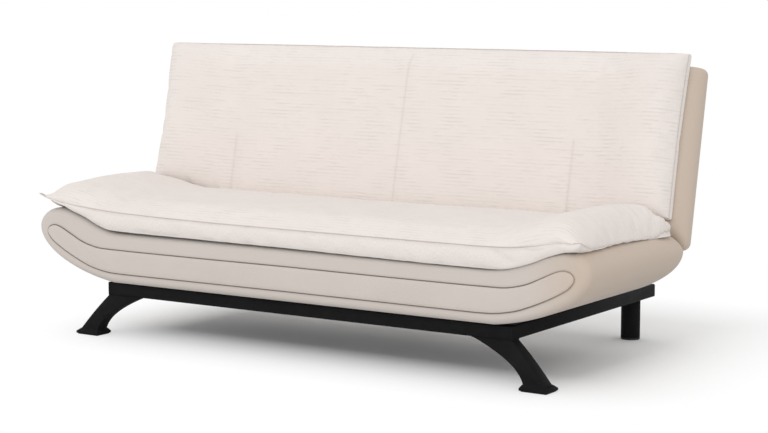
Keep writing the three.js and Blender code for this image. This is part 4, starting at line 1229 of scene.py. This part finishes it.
def back_top(x, y, t):
    """The upper side, with three shallow channels that fade towards the top."""
    quilt = sum((1 - min(abs(x - place) / channel_half, 1) ** 2) ** 2
                * (1 - share_of(t, 0.6 * reach, reach + 0.05))
                for place, reach in channels.items())
    top = topper_gap + face_at(x) + back_thick + back_crown * math.sin(math.pi * t) - back_swell
    return top - channel_depth * quilt * share_of(t, 0.0, 0.15)


class BackDetail:
    """The topper lies a little askew: its lower end has slipped to the left."""

    def softness(self, x, y):
        return 1.0

    def move(self, x, y, t, full, upper):
        out = abs(x) / topper_half
        moved = Vector((-math.copysign(0.018 * t * (1 - t) * out ** 2, x), 0, 0))
        moved.x -= askew * (1 - t)
        moved.y += 0.003 * out ** 8 * t ** 4
        if not upper:
            moved.y += 0.0008 * math.sin(2 * math.pi * x / 0.024) * math.sin(math.pi * full)
        return moved


back_topper, back_ring = make_topper(
    "back_topper_pad", back_place, cap=0.013, channels=channels, start=back_start, end=back_end,
    top_at=back_top, seam_at=lambda x, y: back_seam_up + face_at(x),
    hem_at=lambda x, y: topper_gap + face_at(x), detail=BackDetail(), edge=0.042,
    walls=(0.010, 0.010, 0.010), turn=8)
settle(back_topper)
slot_through(back_topper, -through, 0.050, low=-through, high=0.150)
back_topper.data.transform(back_place)
settle(back_topper)
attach(back_topper, "back")
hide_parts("back_topper")
print(back_topper.name, size_of(back_topper), len(back_topper.data.polygons), "faces")

back_welt = piped("back_topper_welt", back_ring, welt_radius, shaded_topper_welt)
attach(back_welt, "back")

# %% [markdown]
# ## Floor, light and camera
# The floor is white and matt. Near the sofa it keeps the shadow, and further out it turns into
# plain white for the camera. That white glow begins 4 cm outside a box which is narrower and
# shorter than the sofa, so it also lightens the shadow under the sofa's ends and rear: painted
# light. The room's light is even, with one large lamp in front of the sofa, left of the camera,
# at a level where a colour shows as it is written.

# %% Floor
def floor_finish():
    white = Finish("floor_white", 1.0, specular=0.0)
    shown = white.node("LightPath").outputs["Is Camera Ray"]
    white.colour(white.mix(shown, (0.80, 0.80, 0.80), (0.99, 0.99, 0.99)))
    away = white.place()
    for step, amount in (("SUBTRACT", (0.08, 0.30, 0.0)), ("ABSOLUTE", None),
                         ("SUBTRACT", (0.68, 0.45, 9.0)), ("MAXIMUM", (0.0, 0.0, 0.0))):
        inputs = {0: away} if amount is None else {0: away, 1: amount}
        away = white.node("VectorMath", inputs, operation=step).outputs[0]
    away = white.node("VectorMath", {0: away}, operation="LENGTH")
    # painted light: the glow starts 4 cm out from a box narrower than the sofa, so it lightens the shadow under
    # the sofa's ends and rear
    far = white.ramp(away.outputs["Value"], (0.04, 0.0), (0.50, 1.0))
    shadow_lifting_glow = white.node("Emission", {"Color": (1, 1, 1, 1), "Strength": 1.0})
    both = white.node("MixShader", {0: white.math("MULTIPLY", far, shown),
                      1: white.shader.outputs[0], 2: shadow_lifting_glow.outputs[0]})
    white.put(white.tree.nodes["Material Output"].inputs["Surface"], both.outputs[0])
    return white.material


floor = added(bpy.ops.mesh.primitive_plane_add, size=40)
floor.name = "floor"
floor.data.materials.append(floor_finish())
print("floor", size_of(floor))

# %% Room light
world = bpy.data.worlds.new("white_room")
bpy.context.scene.world = world
world.use_nodes = True
room = Nodes(world.node_tree)
rays = room.node("LightPath").outputs
mirrored = room.math("MAXIMUM", rays["Is Glossy Ray"], rays["Is Transmission Ray"])
shown = room.math("MAXIMUM", rays["Is Camera Ray"], mirrored)
strength = room.node("Mix", {0: shown, 2: 0.85, 3: 1.0}).outputs[0]
background = room.tree.nodes["Background"].inputs
room.put(background["Strength"], strength)
room.put(background["Color"], (1, 1, 1, 1))

lamp = added(bpy.ops.object.light_add, type="SUN", location=(-2.5, -4.0, 4.5))
lamp.name = "key"
lamp.data.energy = 0.80
lamp.data.angle = math.radians(50)
towards_lamp = Vector((0.14, -0.80, 0.44))
lamp.rotation_euler = towards_lamp.to_track_quat("Z", "Y").to_euler()
print("lamp energy", lamp.data.energy)

# %% Camera
camera = added(bpy.ops.object.camera_add, location=(3.329, -5.03215, 1.119))
looked_at = Vector((0.0535, -0.03685, 0.3968))
camera.rotation_euler = (looked_at - camera.location).to_track_quat("-Z", "Y").to_euler()
camera.data.lens = 90.85
camera.data.sensor_width = 36
camera.data.clip_end = 100
bpy.context.scene.camera = camera
bpy.context.scene.view_settings.view_transform = "Standard"
print("camera at", [round(v, 3) for v in camera.location])
